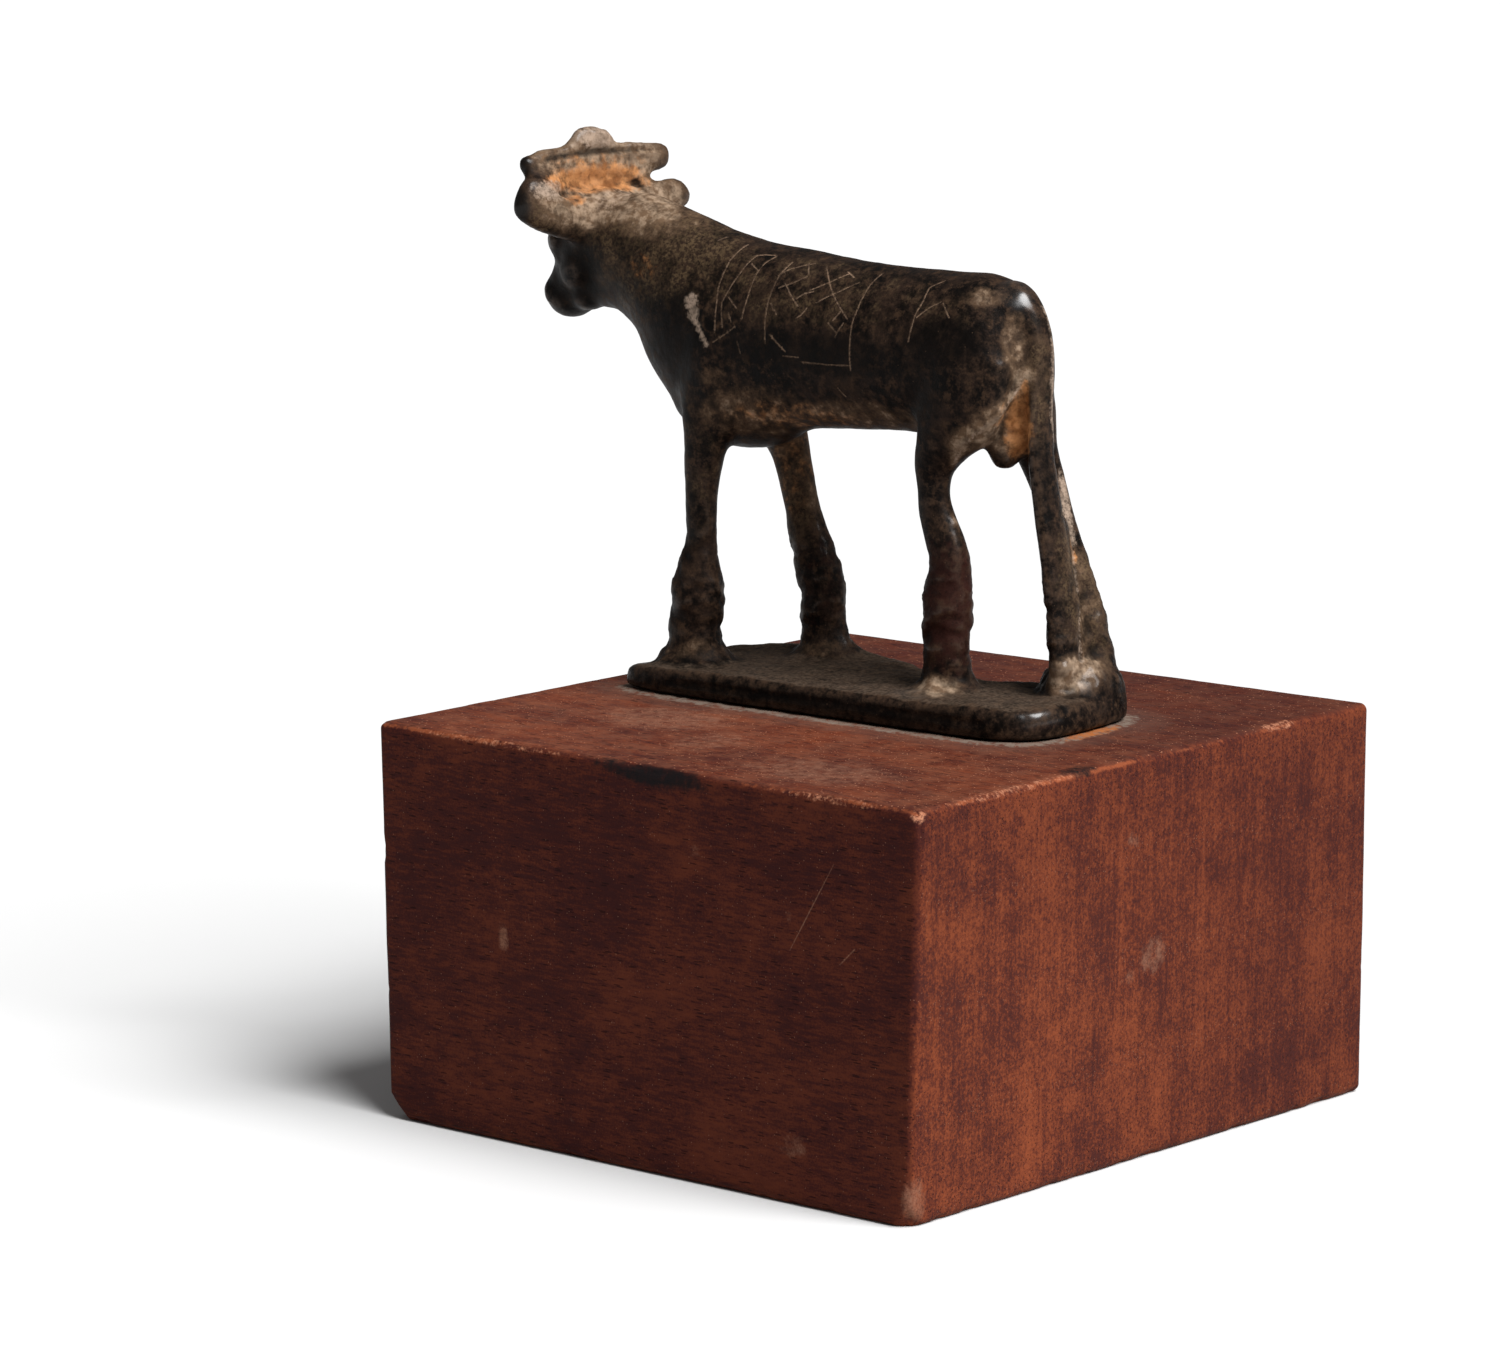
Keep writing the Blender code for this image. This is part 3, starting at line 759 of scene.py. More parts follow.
    def lumped(self, body: np.ndarray, normals: np.ndarray) -> np.ndarray:
        """Low lumps of the plate's top and its rounded rim, where they face up."""
        share = eased_step(normals[:, 2], *self.lump_facing) * eased_step(body[:, 2], *self.lump_top)
        return share * self.lumps.over(body)

    def folded(self, body: np.ndarray) -> np.ndarray:
        """Folds down the mound behind: waves of the angle round its middle, which wander with noise."""
        ahead, left, _ = self.mound.centre
        angle = np.arctan2(body[:, 1] - left, body[:, 0] - ahead)
        waves = np.sin(self.folds * angle + self.fold_wander.over(body))
        return self.mound.rise(body) * eased_step(body[:, 2], *self.fold_foot) * waves

    def carve(self, mesh: bpy.types.Mesh) -> None:
        """Moves the points along the surface's own facing by everything that lifts or dents it."""
        points = mesh_points(mesh)
        body = self.place.body(points)
        crown = self.place.on(Axes.CROWN, body)
        normals = mesh_normals(mesh)
        lift = self.ringed(body) + self.folded(body) + self.lumped(body, normals)
        for table in (DABS, CREASES):
            for axes, shapes in table.items():
                there = self.place.on(axes, body)
                lift += sum(shape.rise(there) for shape in shapes)
        lift += self.swells.over(body) + self.grains.over(body)
        pits = eased_step(self.pits.over(body), *self.pit_span)
        lift -= self.pit_depth * pits * eased_step(self.pit_places.over(body), *self.pit_place_span)
        lift += self.recess.rise(crown) * self.torn.over(body)
        lift += self.stub.rise(crown) * self.snapped.over(body)
        depth = self.stroke_distance(points) / self.stroke_width
        lift -= self.stroke_depth * swell(depth * depth)
        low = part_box(CASTING)[0].z
        lift *= eased_step(points[:, 2], low, low + self.foot_band * MM)
        set_points(mesh, points + normals * (lift * MM)[:, None])

    def stain(self, mesh: bpy.types.Mesh) -> None:
        """Writes a mask for each film, and for the painted shade, from the stains, the streaks and the
        surface's own ups and downs.
        """
        points = mesh_points(mesh)
        body = self.place.body(points)
        normals = mesh_normals(mesh)
        masks = {film: np.zeros(len(points)) for film in Film}
        for table, span in ((STAINS, self.stain_span), (STREAKS, self.streak_span)):
            for (film, axes), shapes in table.items():
                there = self.place.on(axes, body)
                for shape in shapes:
                    shown = shape.amount * eased_step(shape.away(there), *span)
                    masks[film] = np.maximum(masks[film], shown)
        strokes = self.stroke_distance(points) / self.stroke_width
        faded = self.stroke_strength + self.stroke_fade.over(body)
        masks[Film.STROKE] = faded * eased_step(strokes, 1.0, self.stroke_core)
        flat_top = eased_step(normals[:, 2], *self.dust_facing) * eased_step(body[:, 2], *self.dust_top)
        masks[Film.DUST] = self.dust_strength * flat_top
        bulge = ((points - neighbour_mean(mesh, points, self.bulge_passes)) * normals).sum(axis=1) / MM
        bulge = neighbour_mean(mesh, bulge, 2)
        # Raised edges: rubbed lighter, and partly a painted highlight.
        masks[Film.RIDGE] = eased_step(bulge, *self.ridge_span)
        # Painted shade in the hollows.
        masks[Film.HOLLOW_SHADE] = eased_step(-bulge, *self.hollow_shade_span)
        for film, values in masks.items():
            write_mask(mesh, film.value, values)


# Marks on the block, in millimetres.
PATCHES = {
    Mark.BLACK: (
        Spot((-2.4, 34.6, 38.9), (7.6, 1.6, 1.3), 1.0),
        Spot((3.8, 34.6, 39.4), (3.4, 1.4, 0.8), 0.7),
        Spot((-34.0, 10.3, 39.8), (1.6, 3.0, 1.0), 0.8),
    ),
    Mark.BARE: (
        Spot((-34.6, 34.2, 39.2), (0.8, 0.8, 0.8), 0.70),
        Spot((-34.6, -20.0, 39.7), (1.0, 2.6, 0.7), 0.5),
        Spot((-34.6, 20.0, 39.7), (0.7, 13.0, 0.6), 0.30),
        Spot((-24.0, 34.6, 39.6), (11.0, 0.8, 0.6), 0.34),
        Spot((20.0, 34.6, 39.6), (15.0, 0.8, 0.5), 0.32),
    ),
    Mark.PALE: (
        Spot((18.0, 34.5, 20.4), (0.7, 1.0, 1.6), 0.9),
        Spot((-19.5, 34.5, 5.8), (2.6, 1.0, 1.4), 0.55),
        Spot((-6.8, 34.5, 32.4), (1.4, 1.0, 0.9), 0.35),
        Spot((-18.9, 34.5, 27.8), (0.6, 1.0, 1.0), 0.4),
        Spot((-34.5, -0.6, 20.0), (1.0, 2.4, 2.2), 0.62),
        Spot((-34.5, 3.0, 18.6), (1.0, 1.6, 0.8), 0.45),
        Spot((-34.5, 2.8, 31.9), (1.0, 1.1, 1.1), 0.6),
        Spot((-34.0, 34.2, 2.4), (1.6, 1.6, 3.0), 0.75),
        Spot((13.4, 15.6, 39.8), (9.0, 6.6, 1.0), 0.62),
        Spot((2.4, 21.6, 39.8), (4.4, 6.0, 1.0), 0.50),
        Spot((-15.6, 26.4, 39.8), (10.0, 6.4, 1.0), 0.55),
        Spot((9.0, 34.4, 3.8), (0.5, 0.8, 0.7), 0.7),
    ),
    Mark.GLUE: (
        Spot((-24.4, -4.6, 39.8), (2.4, 5.0, 1.0), 0.9),
    ),
}

# Dents in the block, in millimetres, each pressed in by its amount.
NICKS = (
    Spot((-2.4, 34.9, 39.6), (6.4, 1.6, 1.4), 0.45),
    Spot((-34.9, 34.6, 39.6), (1.5, 1.5, 1.2), 0.5),
    Spot((-34.9, -20.0, 39.8), (1.2, 2.6, 0.8), 0.35),
    Spot((-34.2, 10.0, 0.0), (1.0, 1.5, 0.9), 0.5),
    Spot((-34.2, -4.0, 0.0), (1.0, 1.0, 0.6), 0.35),
    Spot((-34.0, -28.0, 0.0), (1.0, 2.4, 0.9), 0.4),
    Spot((18.0, 34.8, 20.4), (0.6, 0.8, 1.2), 0.12),
    Spot((-34.9, 2.8, 31.9), (0.8, 0.6, 0.6), 0.12),
)


@dataclass
class HardwoodBlock:
    """The block: an edge-rounded box on a fine grid, a little out of square, with its chips and old putty."""

    step: float = 0.00058
    edge: float = 0.0008
    end_lean: float = 0.0011
    side_lean: float = -0.0006
    short_corner: float = 0.0024
    chip_head: float = 0.0030
    chip_rump: float = 0.0022
    putty_height: float = 0.00018
    putty_reach: float = 1.1
    putty_heaps: Grain = Grain(0.9, 1, 89, 0.5)
    putty_share: float = 0.8
    # Wear of the surface, in millimetres; then which faces count as the top, and where the painted shade lies
    # on the top and the rump end.
    chips: Grain = Grain(1.6, 3, 71)
    waves: Grain = Grain(6.0, 2, 73)
    ripples: Grain = Grain(2.4, 2, 79, 0.010)
    ripple_stretch: Point = (0.4, 1.0, 1.0)
    ragged: Grain = Grain(0.9, 2, 83, 0.5)
    patchy: Grain = Grain(7.0, 2, 97)
    chip_depth: float = 0.20
    edge_depth: float = 0.05
    most_rise: float = 0.02
    chip_span: Span = (0.35, 1.0)
    chip_reach: float = 0.9
    edge_reach: float = 1.6
    rub_span: Span = (0.65, 0.1)
    rub_patches: Span = (-0.5, 0.7)
    rub_low: float = 0.12
    rub_heights: Span = (37.5, 39.5)
    top_facing: Span = (0.5, 0.95)
    top_far: Span = (10.0, -16.0)
    rump_far: Span = (14.0, -30.0)
    rump_heights: Span = (20.0, 36.0)
    rump_height_share: float = 0.7
    # How the marks fade, and how strong the painted shade is on each side.
    patch_span: Span = (1.3, 0.1)
    facing_span: Span = (0.2, 0.9)
    head_shade: float = 0.5
    top_shade: float = 0.75
    rump_shade: float = 0.42
    putty_strength: float = 0.8
    putty_span: Span = (1.35, 0.6)
    dust_span: Span = (7.0, 0.4)
    glue_span: Span = (1.5, 0.4)
    weld: float = 1e-8

    def build(self, material: bpy.types.Material) -> bpy.types.Object:
        """Makes the piece that stands for the block's node.

        Args:
            material: its finish.

        Returns:
            The finished object.
        """
        low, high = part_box(BLOCK)
        half = np.array(((high.x - low.x) / 2, (high.y - low.y) / 2 + self.side_lean, (high.z - low.z) / 2))
        cube, quads = self.grid(half)
        points = self.rounded(cube, half)
        edge_gap = self.edge_distance(cube, half)
        points = self.leaned(points, half)
        mesh = bpy.data.meshes.new("hardwood_block")
        mesh.from_pydata(points.tolist(), [], quads.tolist())
        mesh.update()
        gap = self.casting_gap(points)
        self.wear(mesh, edge_gap, gap)
        self.mark(mesh, edge_gap, gap)
        piece = new_piece("hardwood_block", mesh)
        mesh.materials.append(material)
        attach(piece, "root")
        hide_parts(BLOCK)
        LOG.info("%s: %d points, %d faces", piece.name, len(mesh.vertices), len(mesh.polygons))
        return piece

    def spaced(self, half: float) -> np.ndarray:
        """Places from -half to half: even between the rounded edges, and five closer ones over each."""
        inner = half - self.edge
        count = max(2, round(2 * inner / self.step))
        over = inner + self.edge * np.tan(np.radians([11.25, 22.5, 33.75, 45.0]))
        return np.concatenate([-over[::-1], np.linspace(-inner, inner, count + 1), over])

    def grid(self, half: np.ndarray) -> tuple[np.ndarray, np.ndarray]:
        """A cube's six sides as one closed grid.

        Formula: each side is every pair of places along its two directions, with the third held at plus or
        minus its half size. Points that two sides share are made one.

        Args:
            half: half the box's length, width and height.

        Returns:
            The points, and four point numbers for each face.
        """
        places = [self.spaced(size) for size in half]
        sides, faces, start = [], [], 0
        for axis in range(3):
            across, along = (axis + 1) % 3, (axis + 2) % 3
            for sign in (1, -1):
                u, v = np.meshgrid(places[across], places[along], indexing="ij")
                side = np.empty((u.size, 3))
                side[:, axis] = sign * half[axis]
                side[:, across] = u.ravel()
                side[:, along] = v.ravel()
                number = np.arange(u.size).reshape(u.shape) + start
                ring = [number[:-1, :-1], number[1:, :-1], number[1:, 1:], number[:-1, 1:]]
                quad = np.stack([corner.ravel() for corner in ring], axis=1)
                faces.append(quad[:, ::sign])
                sides.append(side)
                start += u.size
        every = np.vstack(sides)
        whole = np.round(every / self.weld)
        _, first, index = np.unique(whole, axis=0, return_index=True, return_inverse=True)
        return every[first], index.reshape(-1)[np.vstack(faces)]

    def rounded(self, cube: np.ndarray, half: np.ndarray) -> np.ndarray:
        """The box with its edges rounded: each point is drawn in to the edge's radius from an inner box."""
        inner = np.clip(cube, -(half - self.edge), half - self.edge)
        out = cube - inner
        return inner + out * (self.edge / np.linalg.norm(out, axis=1))[:, None]

    def edge_distance(self, cube: np.ndarray, half: np.ndarray) -> np.ndarray:
        """How far each point is from the nearest edge, in millimetres: the second smallest gap to a side."""
        return np.sort(half - np.abs(cube), axis=1)[:, 1] / MM

    def leaned(self, points: np.ndarray, half: np.ndarray) -> np.ndarray:
        """The box set on the floor, out of square as the saw left it, and its two broken corners cut off.

        Formula: ends and sides move in by their lean times the drop from the top, the short corner's point by
        its share of the corner, and what lies beyond a chip's plane is brought back to it.

        Args:
            points: the box's points, about its middle.
            half: half the box's length, width and height.

        Returns:
            The points in the row frame.
        """
        share = points / half
        drop = 0.5 * (1 - share[:, 2])
        corner = np.clip(0.5 + 0.5 * share[:, 0], 0, 1) * np.clip(0.5 - 0.5 * share[:, 1], 0, 1)
        moved = points.copy()
        moved[:, 0] -= share[:, 0] * self.end_lean * drop + self.short_corner * corner
        moved[:, 1] -= share[:, 1] * self.side_lean * drop - self.short_corner * corner
        moved[:, 2] += half[2]
        for end, chip in ((1, self.chip_head), (-1, self.chip_rump)):
            spot = np.array((end * (half[0] - self.end_lean - chip), half[1] - self.side_lean, 0.0))
            away = np.array((end, 1.0, -1.0)) / math.sqrt(3.0)
            beyond = np.maximum((moved - spot) @ away, 0.0)
            moved -= beyond[:, None] * away
        moved[:, 2] = np.maximum(moved[:, 2], 0.0)
        return moved

    def casting_gap(self, points: np.ndarray) -> np.ndarray:
        """How far each point of the block's top is from the edges of the casting's foot, seen from above.

        Args:
            points: the block's points.

        Returns:
            One distance in millimetres for each point, and infinity below the top.
        """
        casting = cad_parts[CASTING].data
        ends = np.empty(len(casting.edges) * 2, np.int32)
        casting.edges.foreach_get("vertices", ends)
        edges = mesh_points(casting)[ends.reshape(-1, 2)]
        foot = edges[(edges[:, :, 2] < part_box(CASTING)[0].z + 0.0001).all(axis=1)][:, :, :2]
        foot = foot[np.abs(foot[:, 1] - foot[:, 0]).sum(axis=1) > 1e-6]
        top = points[:, 2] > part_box(BLOCK)[1].z - 0.0004
        gap = np.full(len(points), np.inf)
        gap[top] = np.min([line_distance(points[top, :2], edge) for edge in foot], axis=0) / MM
        return gap

    def wear(self, mesh: bpy.types.Mesh, edge_gap: np.ndarray, gap: np.ndarray) -> None:
        """Lowers the surface along its edges and by nicks and ripples, and heaps putty along the plate."""
        points = mesh_points(mesh)
        spots = points / MM
        chips = eased_step(self.chips.over(spots), *self.chip_span)
        lift = -self.chip_depth * chips * eased_step(edge_gap, self.chip_reach, 0.0)
        lift -= self.edge_depth * (1 + self.waves.over(spots)) * eased_step(edge_gap, self.edge_reach, 0.0)
        lift += self.ripples.over(spots * np.array(self.ripple_stretch))
        lift -= (1 + self.ragged.over(spots)) * sum(nick.rise(spots) for nick in NICKS)
        heaps = np.clip(self.putty_share + self.putty_heaps.over(spots), 0, 1)
        putty = eased_step(gap, self.putty_reach, 0.0) * heaps
        points += mesh_normals(mesh) * (np.minimum(lift, self.most_rise) * MM)[:, None]
        points[:, 2] += self.putty_height * putty
        points[:, 2] = np.maximum(points[:, 2], 0.0)
        set_points(mesh, points)

    def mark(self, mesh: bpy.types.Mesh, edge_gap: np.ndarray, gap: np.ndarray) -> None:
        """Writes a mask for each mark on the wood, and one of painted shade where the light reaches less."""
        spots = mesh_points(mesh) / MM
        _, left, up = spots.T
        ahead, aside, above = mesh_normals(mesh).T
        masks = {mark: np.zeros(len(spots)) for mark in Mark}
        for mark, patches in PATCHES.items():
            for patch in patches:
                shown = patch.amount * eased_step(patch.away(spots), *self.patch_span)
                masks[mark] = np.maximum(masks[mark], shown)
        near_top = self.rub_low + (1 - self.rub_low) * eased_step(up, *self.rub_heights)
        patchy = eased_step(self.patchy.over(spots), *self.rub_patches)
        masks[Mark.EDGE] = near_top * eased_step(edge_gap, *self.rub_span) * patchy
        masks[Mark.TOP] = eased_step(above, *self.top_facing)
        far_top = masks[Mark.TOP] * eased_step(left, *self.top_far)
        rump_up = self.rump_height_share * eased_step(up, *self.rump_heights)
        far_rump = np.maximum(eased_step(left, *self.rump_far), rump_up)
        # Painted shade: darker on the left side and the head end, which the light barely reaches, on the far
        # part of the top, and high or far along the rump end.
        masks[Mark.SHADE] = (
            eased_step(aside, *self.facing_span)
            + self.head_shade * eased_step(ahead, *self.facing_span)
            + self.top_shade * far_top
            + self.rump_shade * far_rump * eased_step(-ahead, *self.facing_span)
        )
        masks[Mark.PUTTY] = self.putty_strength * eased_step(gap, *self.putty_span)
        masks[Mark.DUST] = eased_step(gap, *self.dust_span)
        masks[Mark.GLUE] *= eased_step(gap, *self.glue_span)
        for mark, values in masks.items():
            write_mask(mesh, mark.value, values)


class Board:
    """Sets and joins shader nodes in one node tree."""

    def __init__(self, tree: bpy.types.NodeTree) -> None:
        """Takes the tree that the nodes go into."""
        self.tree = tree

    def node(
        self, kind: str, feeds: dict[str | int, Feed] | None = None, **settings: object
    ) -> bpy.types.Node:
        """A new node.

        Args:
            kind: Blender's name for it.
            feeds: what goes into each input, a socket or a fixed value.
            **settings: the node's own properties.

        Returns:
            The node.
        """
        made = self.tree.nodes.new(kind)
        for name, value in settings.items():
            setattr(made, name, value)
        for key, feed in (feeds or {}).items():
            self.feed(made.inputs[key], feed)
        return made

    def feed(self, socket: Socket, feed: Feed) -> None:
        """Joins a socket to an input, or sets the input's value."""
        if isinstance(feed, Socket):
            self.tree.links.new(feed, socket)
        else:
            socket.default_value = feed

    def millimetres(self) -> Socket:
        """The place on the object, in millimetres."""
        place = self.node("ShaderNodeTexCoord").outputs["Object"]
        return self.scaled(place, (1000.0, 1000.0, 1000.0))

    def scaled(self, place: Feed, scale: Point, turn: Point = ORIGIN) -> Socket:
        """A place turned, then stretched."""
        feeds = {"Vector": place, "Scale": scale, "Rotation": turn}
        return self.node("ShaderNodeMapping", feeds).outputs["Vector"]

    def noise(self, place: Feed, scale: float, detail: float = 4.0, rough: float = 0.6) -> Socket:
        """Noise from 0 to 1, `scale` bumps to a millimetre."""
        feeds = {"Vector": place, "Scale": scale, "Detail": detail, "Roughness": rough}
        return self.node("ShaderNodeTexNoise", feeds).outputs["Fac"]

    def calc(self, rule: str, first: Feed, second: Feed = 0.0, clamp: bool = False) -> Socket:
        """Two numbers joined by one of the Math node's rules."""
        node = self.node("ShaderNodeMath", {0: first, 1: second}, operation=rule, use_clamp=clamp)
        return node.outputs[0]

    def times(self, first: Feed, second: Feed) -> Socket:
        """One number times another."""
        return self.calc("MULTIPLY", first, second)

    def most(self, *values: Feed) -> Socket:
        """The greatest of several numbers."""
        return reduce(lambda first, second: self.calc("MAXIMUM", first, second), values)

    def summed(self, *parts: tuple[Feed, float]) -> Socket:
        """Numbers added up, each times its weight."""
        scaled = [self.times(value, weight) for value, weight in parts]
        return reduce(lambda first, second: self.calc("ADD", first, second), scaled)

    def ease(self, value: Feed, start: float, end: float, low: float = 0.0, high: float = 1.0) -> Socket:
        """`low` before start, `high` after end, and a soft change between."""
        feeds = {"Value": value, "From Min": start, "From Max": end, "To Min": low, "To Max": high}
        return self.node("ShaderNodeMapRange", feeds, interpolation_type="SMOOTHSTEP").outputs["Result"]

    def mix(self, share: Feed, under: Feed, over: Feed) -> Socket:
        """One colour laid over another."""
        feeds = {0: share, 6: opaque(under), 7: opaque(over)}
        return self.node("ShaderNodeMix", feeds, data_type="RGBA").outputs[2]

    def blend(self, share: Feed, under: Feed, over: Feed) -> Socket:
        """A number between two others."""
        return self.node("ShaderNodeMix", {0: share, 2: under, 3: over}, data_type="FLOAT").outputs[0]

    def mask(self, name: str) -> Socket:
        """A number that the mesh holds at each point."""
        return self.node("ShaderNodeAttribute", attribute_name=name).outputs["Fac"]

    def group(self, tree: bpy.types.NodeTree, feeds: dict[str | int, Feed]) -> Socket:
        """A node group's first output."""
        made = self.node("ShaderNodeGroup", node_tree=tree)
        for key, feed in feeds.items():
            self.feed(made.inputs[key], feed)
        return made.outputs[0]

    def bump(self, height: Feed, distance: float, strength: float) -> Socket:
        """A normal tipped by a height."""
        feeds = {"Height": height, "Distance": distance, "Strength": strength}
        return self.node("ShaderNodeBump", feeds).outputs["Normal"]


def opaque(colour: Feed) -> Feed:
    """A colour with its fourth number, or the socket as it is."""
    if isinstance(colour, Socket) or len(colour) == 4:
        return colour
    return (*colour, 1.0)


def group_board(name: str, inputs: dict[str, float | Point]) -> tuple[Board, bpy.types.bpy_prop_collection]:
    """An empty shader node group with one value output, Mask.

    Args:
        name: the group's name.
        inputs: each input's name and value, a number or a place.

    Returns:
        A board on the group, and the sockets that give the inputs inside it.
    """
    tree = bpy.data.node_groups.new(name, "ShaderNodeTree")
    for title, value in inputs.items():
        kind = "NodeSocketFloat" if isinstance(value, float) else "NodeSocketVector"
        tree.interface.new_socket(title, in_out="INPUT", socket_type=kind).default_value = value
    tree.interface.new_socket("Mask", in_out="OUTPUT", socket_type="NodeSocketFloat")
    board = Board(tree)
    return board, board.node("NodeGroupInput").outputs


class SharedEffects:
    """Node groups that both finishes use."""

    def __init__(self) -> None:
        """Builds the groups once."""
        self.film = self.broken_film()
        self.specks = self.scattered_specks()
        self.scratch = self.hairline()

    def broken_film(self) -> bpy.types.NodeTree:
        """A film that thins out in soft ragged patches: its mask with noise added, eased over a wide span."""
        inputs = {"Place": ORIGIN, "Film": 0.0, "Scale": 1.0, "Raggedness": 1.0}
        board, given = group_board("broken_film", inputs)
        noise = board.node("ShaderNodeTexNoise", {"Vector": given["Place"], "Scale": given["Scale"]})
        noise.inputs["Detail"].default_value = 7.0
        noise.inputs["Roughness"].default_value = 0.68
        wander = board.times(board.calc("SUBTRACT", noise.outputs["Fac"], 0.5), given["Raggedness"])
        total = board.calc("ADD", given["Film"], board.times(wander, 2.4))
        shown = board.ease(total, 0.12, 1.05)
        # Nothing shows where the film's own mask is nought.
        shown = board.times(shown, board.ease(given["Film"], 0.0, 0.30))
        board.node("NodeGroupOutput", {"Mask": shown})
        return board.tree

    def scattered_specks(self) -> bpy.types.NodeTree:
        """Small round specks: the middles of the cells of a Voronoi pattern, in some cells alone."""
        inputs = {"Place": ORIGIN, "Scale": 1.0, "Size": 0.2, "Share": 0.3}
        board, given = group_board("scattered_specks", inputs)
        cells = board.node("ShaderNodeTexVoronoi", {"Vector": given["Place"], "Scale": given["Scale"]})
        near = board.calc("LESS_THAN", cells.outputs["Distance"], given["Size"])
        lot = board.node("ShaderNodeSeparateColor", {"Color": cells.outputs["Color"]}).outputs[0]
        chosen = board.calc("LESS_THAN", lot, given["Share"])
        board.node("NodeGroupOutput", {"Mask": board.times(near, chosen)})
        return board.tree

    def hairline(self) -> bpy.types.NodeTree:
        """A thin scratch between two points: the place is dropped onto the line, and its gap compared."""
        inputs = {"Place": ORIGIN, "Start": ORIGIN, "End": (1.0, 0.0, 0.0), "Width": 0.1}
        board, given = group_board("hairline", inputs)

        def vector(rule: str, first: Feed, second: Feed) -> bpy.types.Node:
            """Two vectors joined by one of the Vector Math node's rules."""
            return board.node("ShaderNodeVectorMath", {0: first, 1: second}, operation=rule)

        along = vector("SUBTRACT", given["End"], given["Start"]).outputs["Vector"]
        off = vector("SUBTRACT", given["Place"], given["Start"]).outputs["Vector"]
        share = board.calc(
            "DIVIDE",
            vector("DOT_PRODUCT", off, along).outputs["Value"],
            vector("DOT_PRODUCT", along, along).outputs["Value"],
            clamp=True,
        )
        scaled = board.node("ShaderNodeVectorMath", {0: along, "Scale": share}, operation="SCALE")
        reach = scaled.outputs["Vector"]
        gap = vector("DISTANCE", off, reach).outputs["Value"]
        inside = board.calc("SUBTRACT", 1.0, board.calc("DIVIDE", gap, given["Width"]), clamp=True)
        board.node("NodeGroupOutput", {"Mask": inside})
        return board.tree


class FinishBoard(Board):
    """A board on a new material, with the place on the object and the shared effects at hand."""

    def __init__(self, name: str, effects: SharedEffects) -> None:
        """Makes the material.

        Args:
            name: the material's name.
            effects: the shared node groups.
        """
        self.material = bpy.data.materials.new(name)
        self.material.use_nodes = True
        super().__init__(self.material.node_tree)
        self.effects = effects
        self.place = self.millimetres()

    def film(self, kind: Film | Mark, scale: float, ragged: float) -> Socket:
        """Where a film or mark really shows, broken up by noise."""
        feeds = {"Place": self.place, "Film": self.mask(kind.value), "Scale": scale, "Raggedness": ragged}
        return self.group(self.effects.film, feeds)

    def specks(self, place: Feed, scale: float, size: float, share: float) -> Socket:
        """Specks of one size, in a share of their pattern's cells."""
        feeds = {"Place": place, "Scale": scale, "Size": size, "Share": share}
        return self.group(self.effects.specks, feeds)

    def layered(self, colour: Feed, layers: Sequence[tuple[Feed, Feed, Feed]]) -> Feed:
        """A colour with others laid over it in turn.

        Args:
            colour: what lies lowest.
            layers: each layer's colour, where it shows and how strongly.

        Returns:
            The colour seen from outside.
        """
        for over, shown, strength in layers:
            colour = self.mix(self.times(shown, strength), colour, over)
        return colour

    def finished(self, feeds: dict[str, Feed]) -> bpy.types.Material:
        """The material, once its shader's inputs are fed."""
        shader = self.tree.nodes["Principled BSDF"]
        for name, feed in feeds.items():
            self.feed(shader.inputs[name], feed)
        return self.material


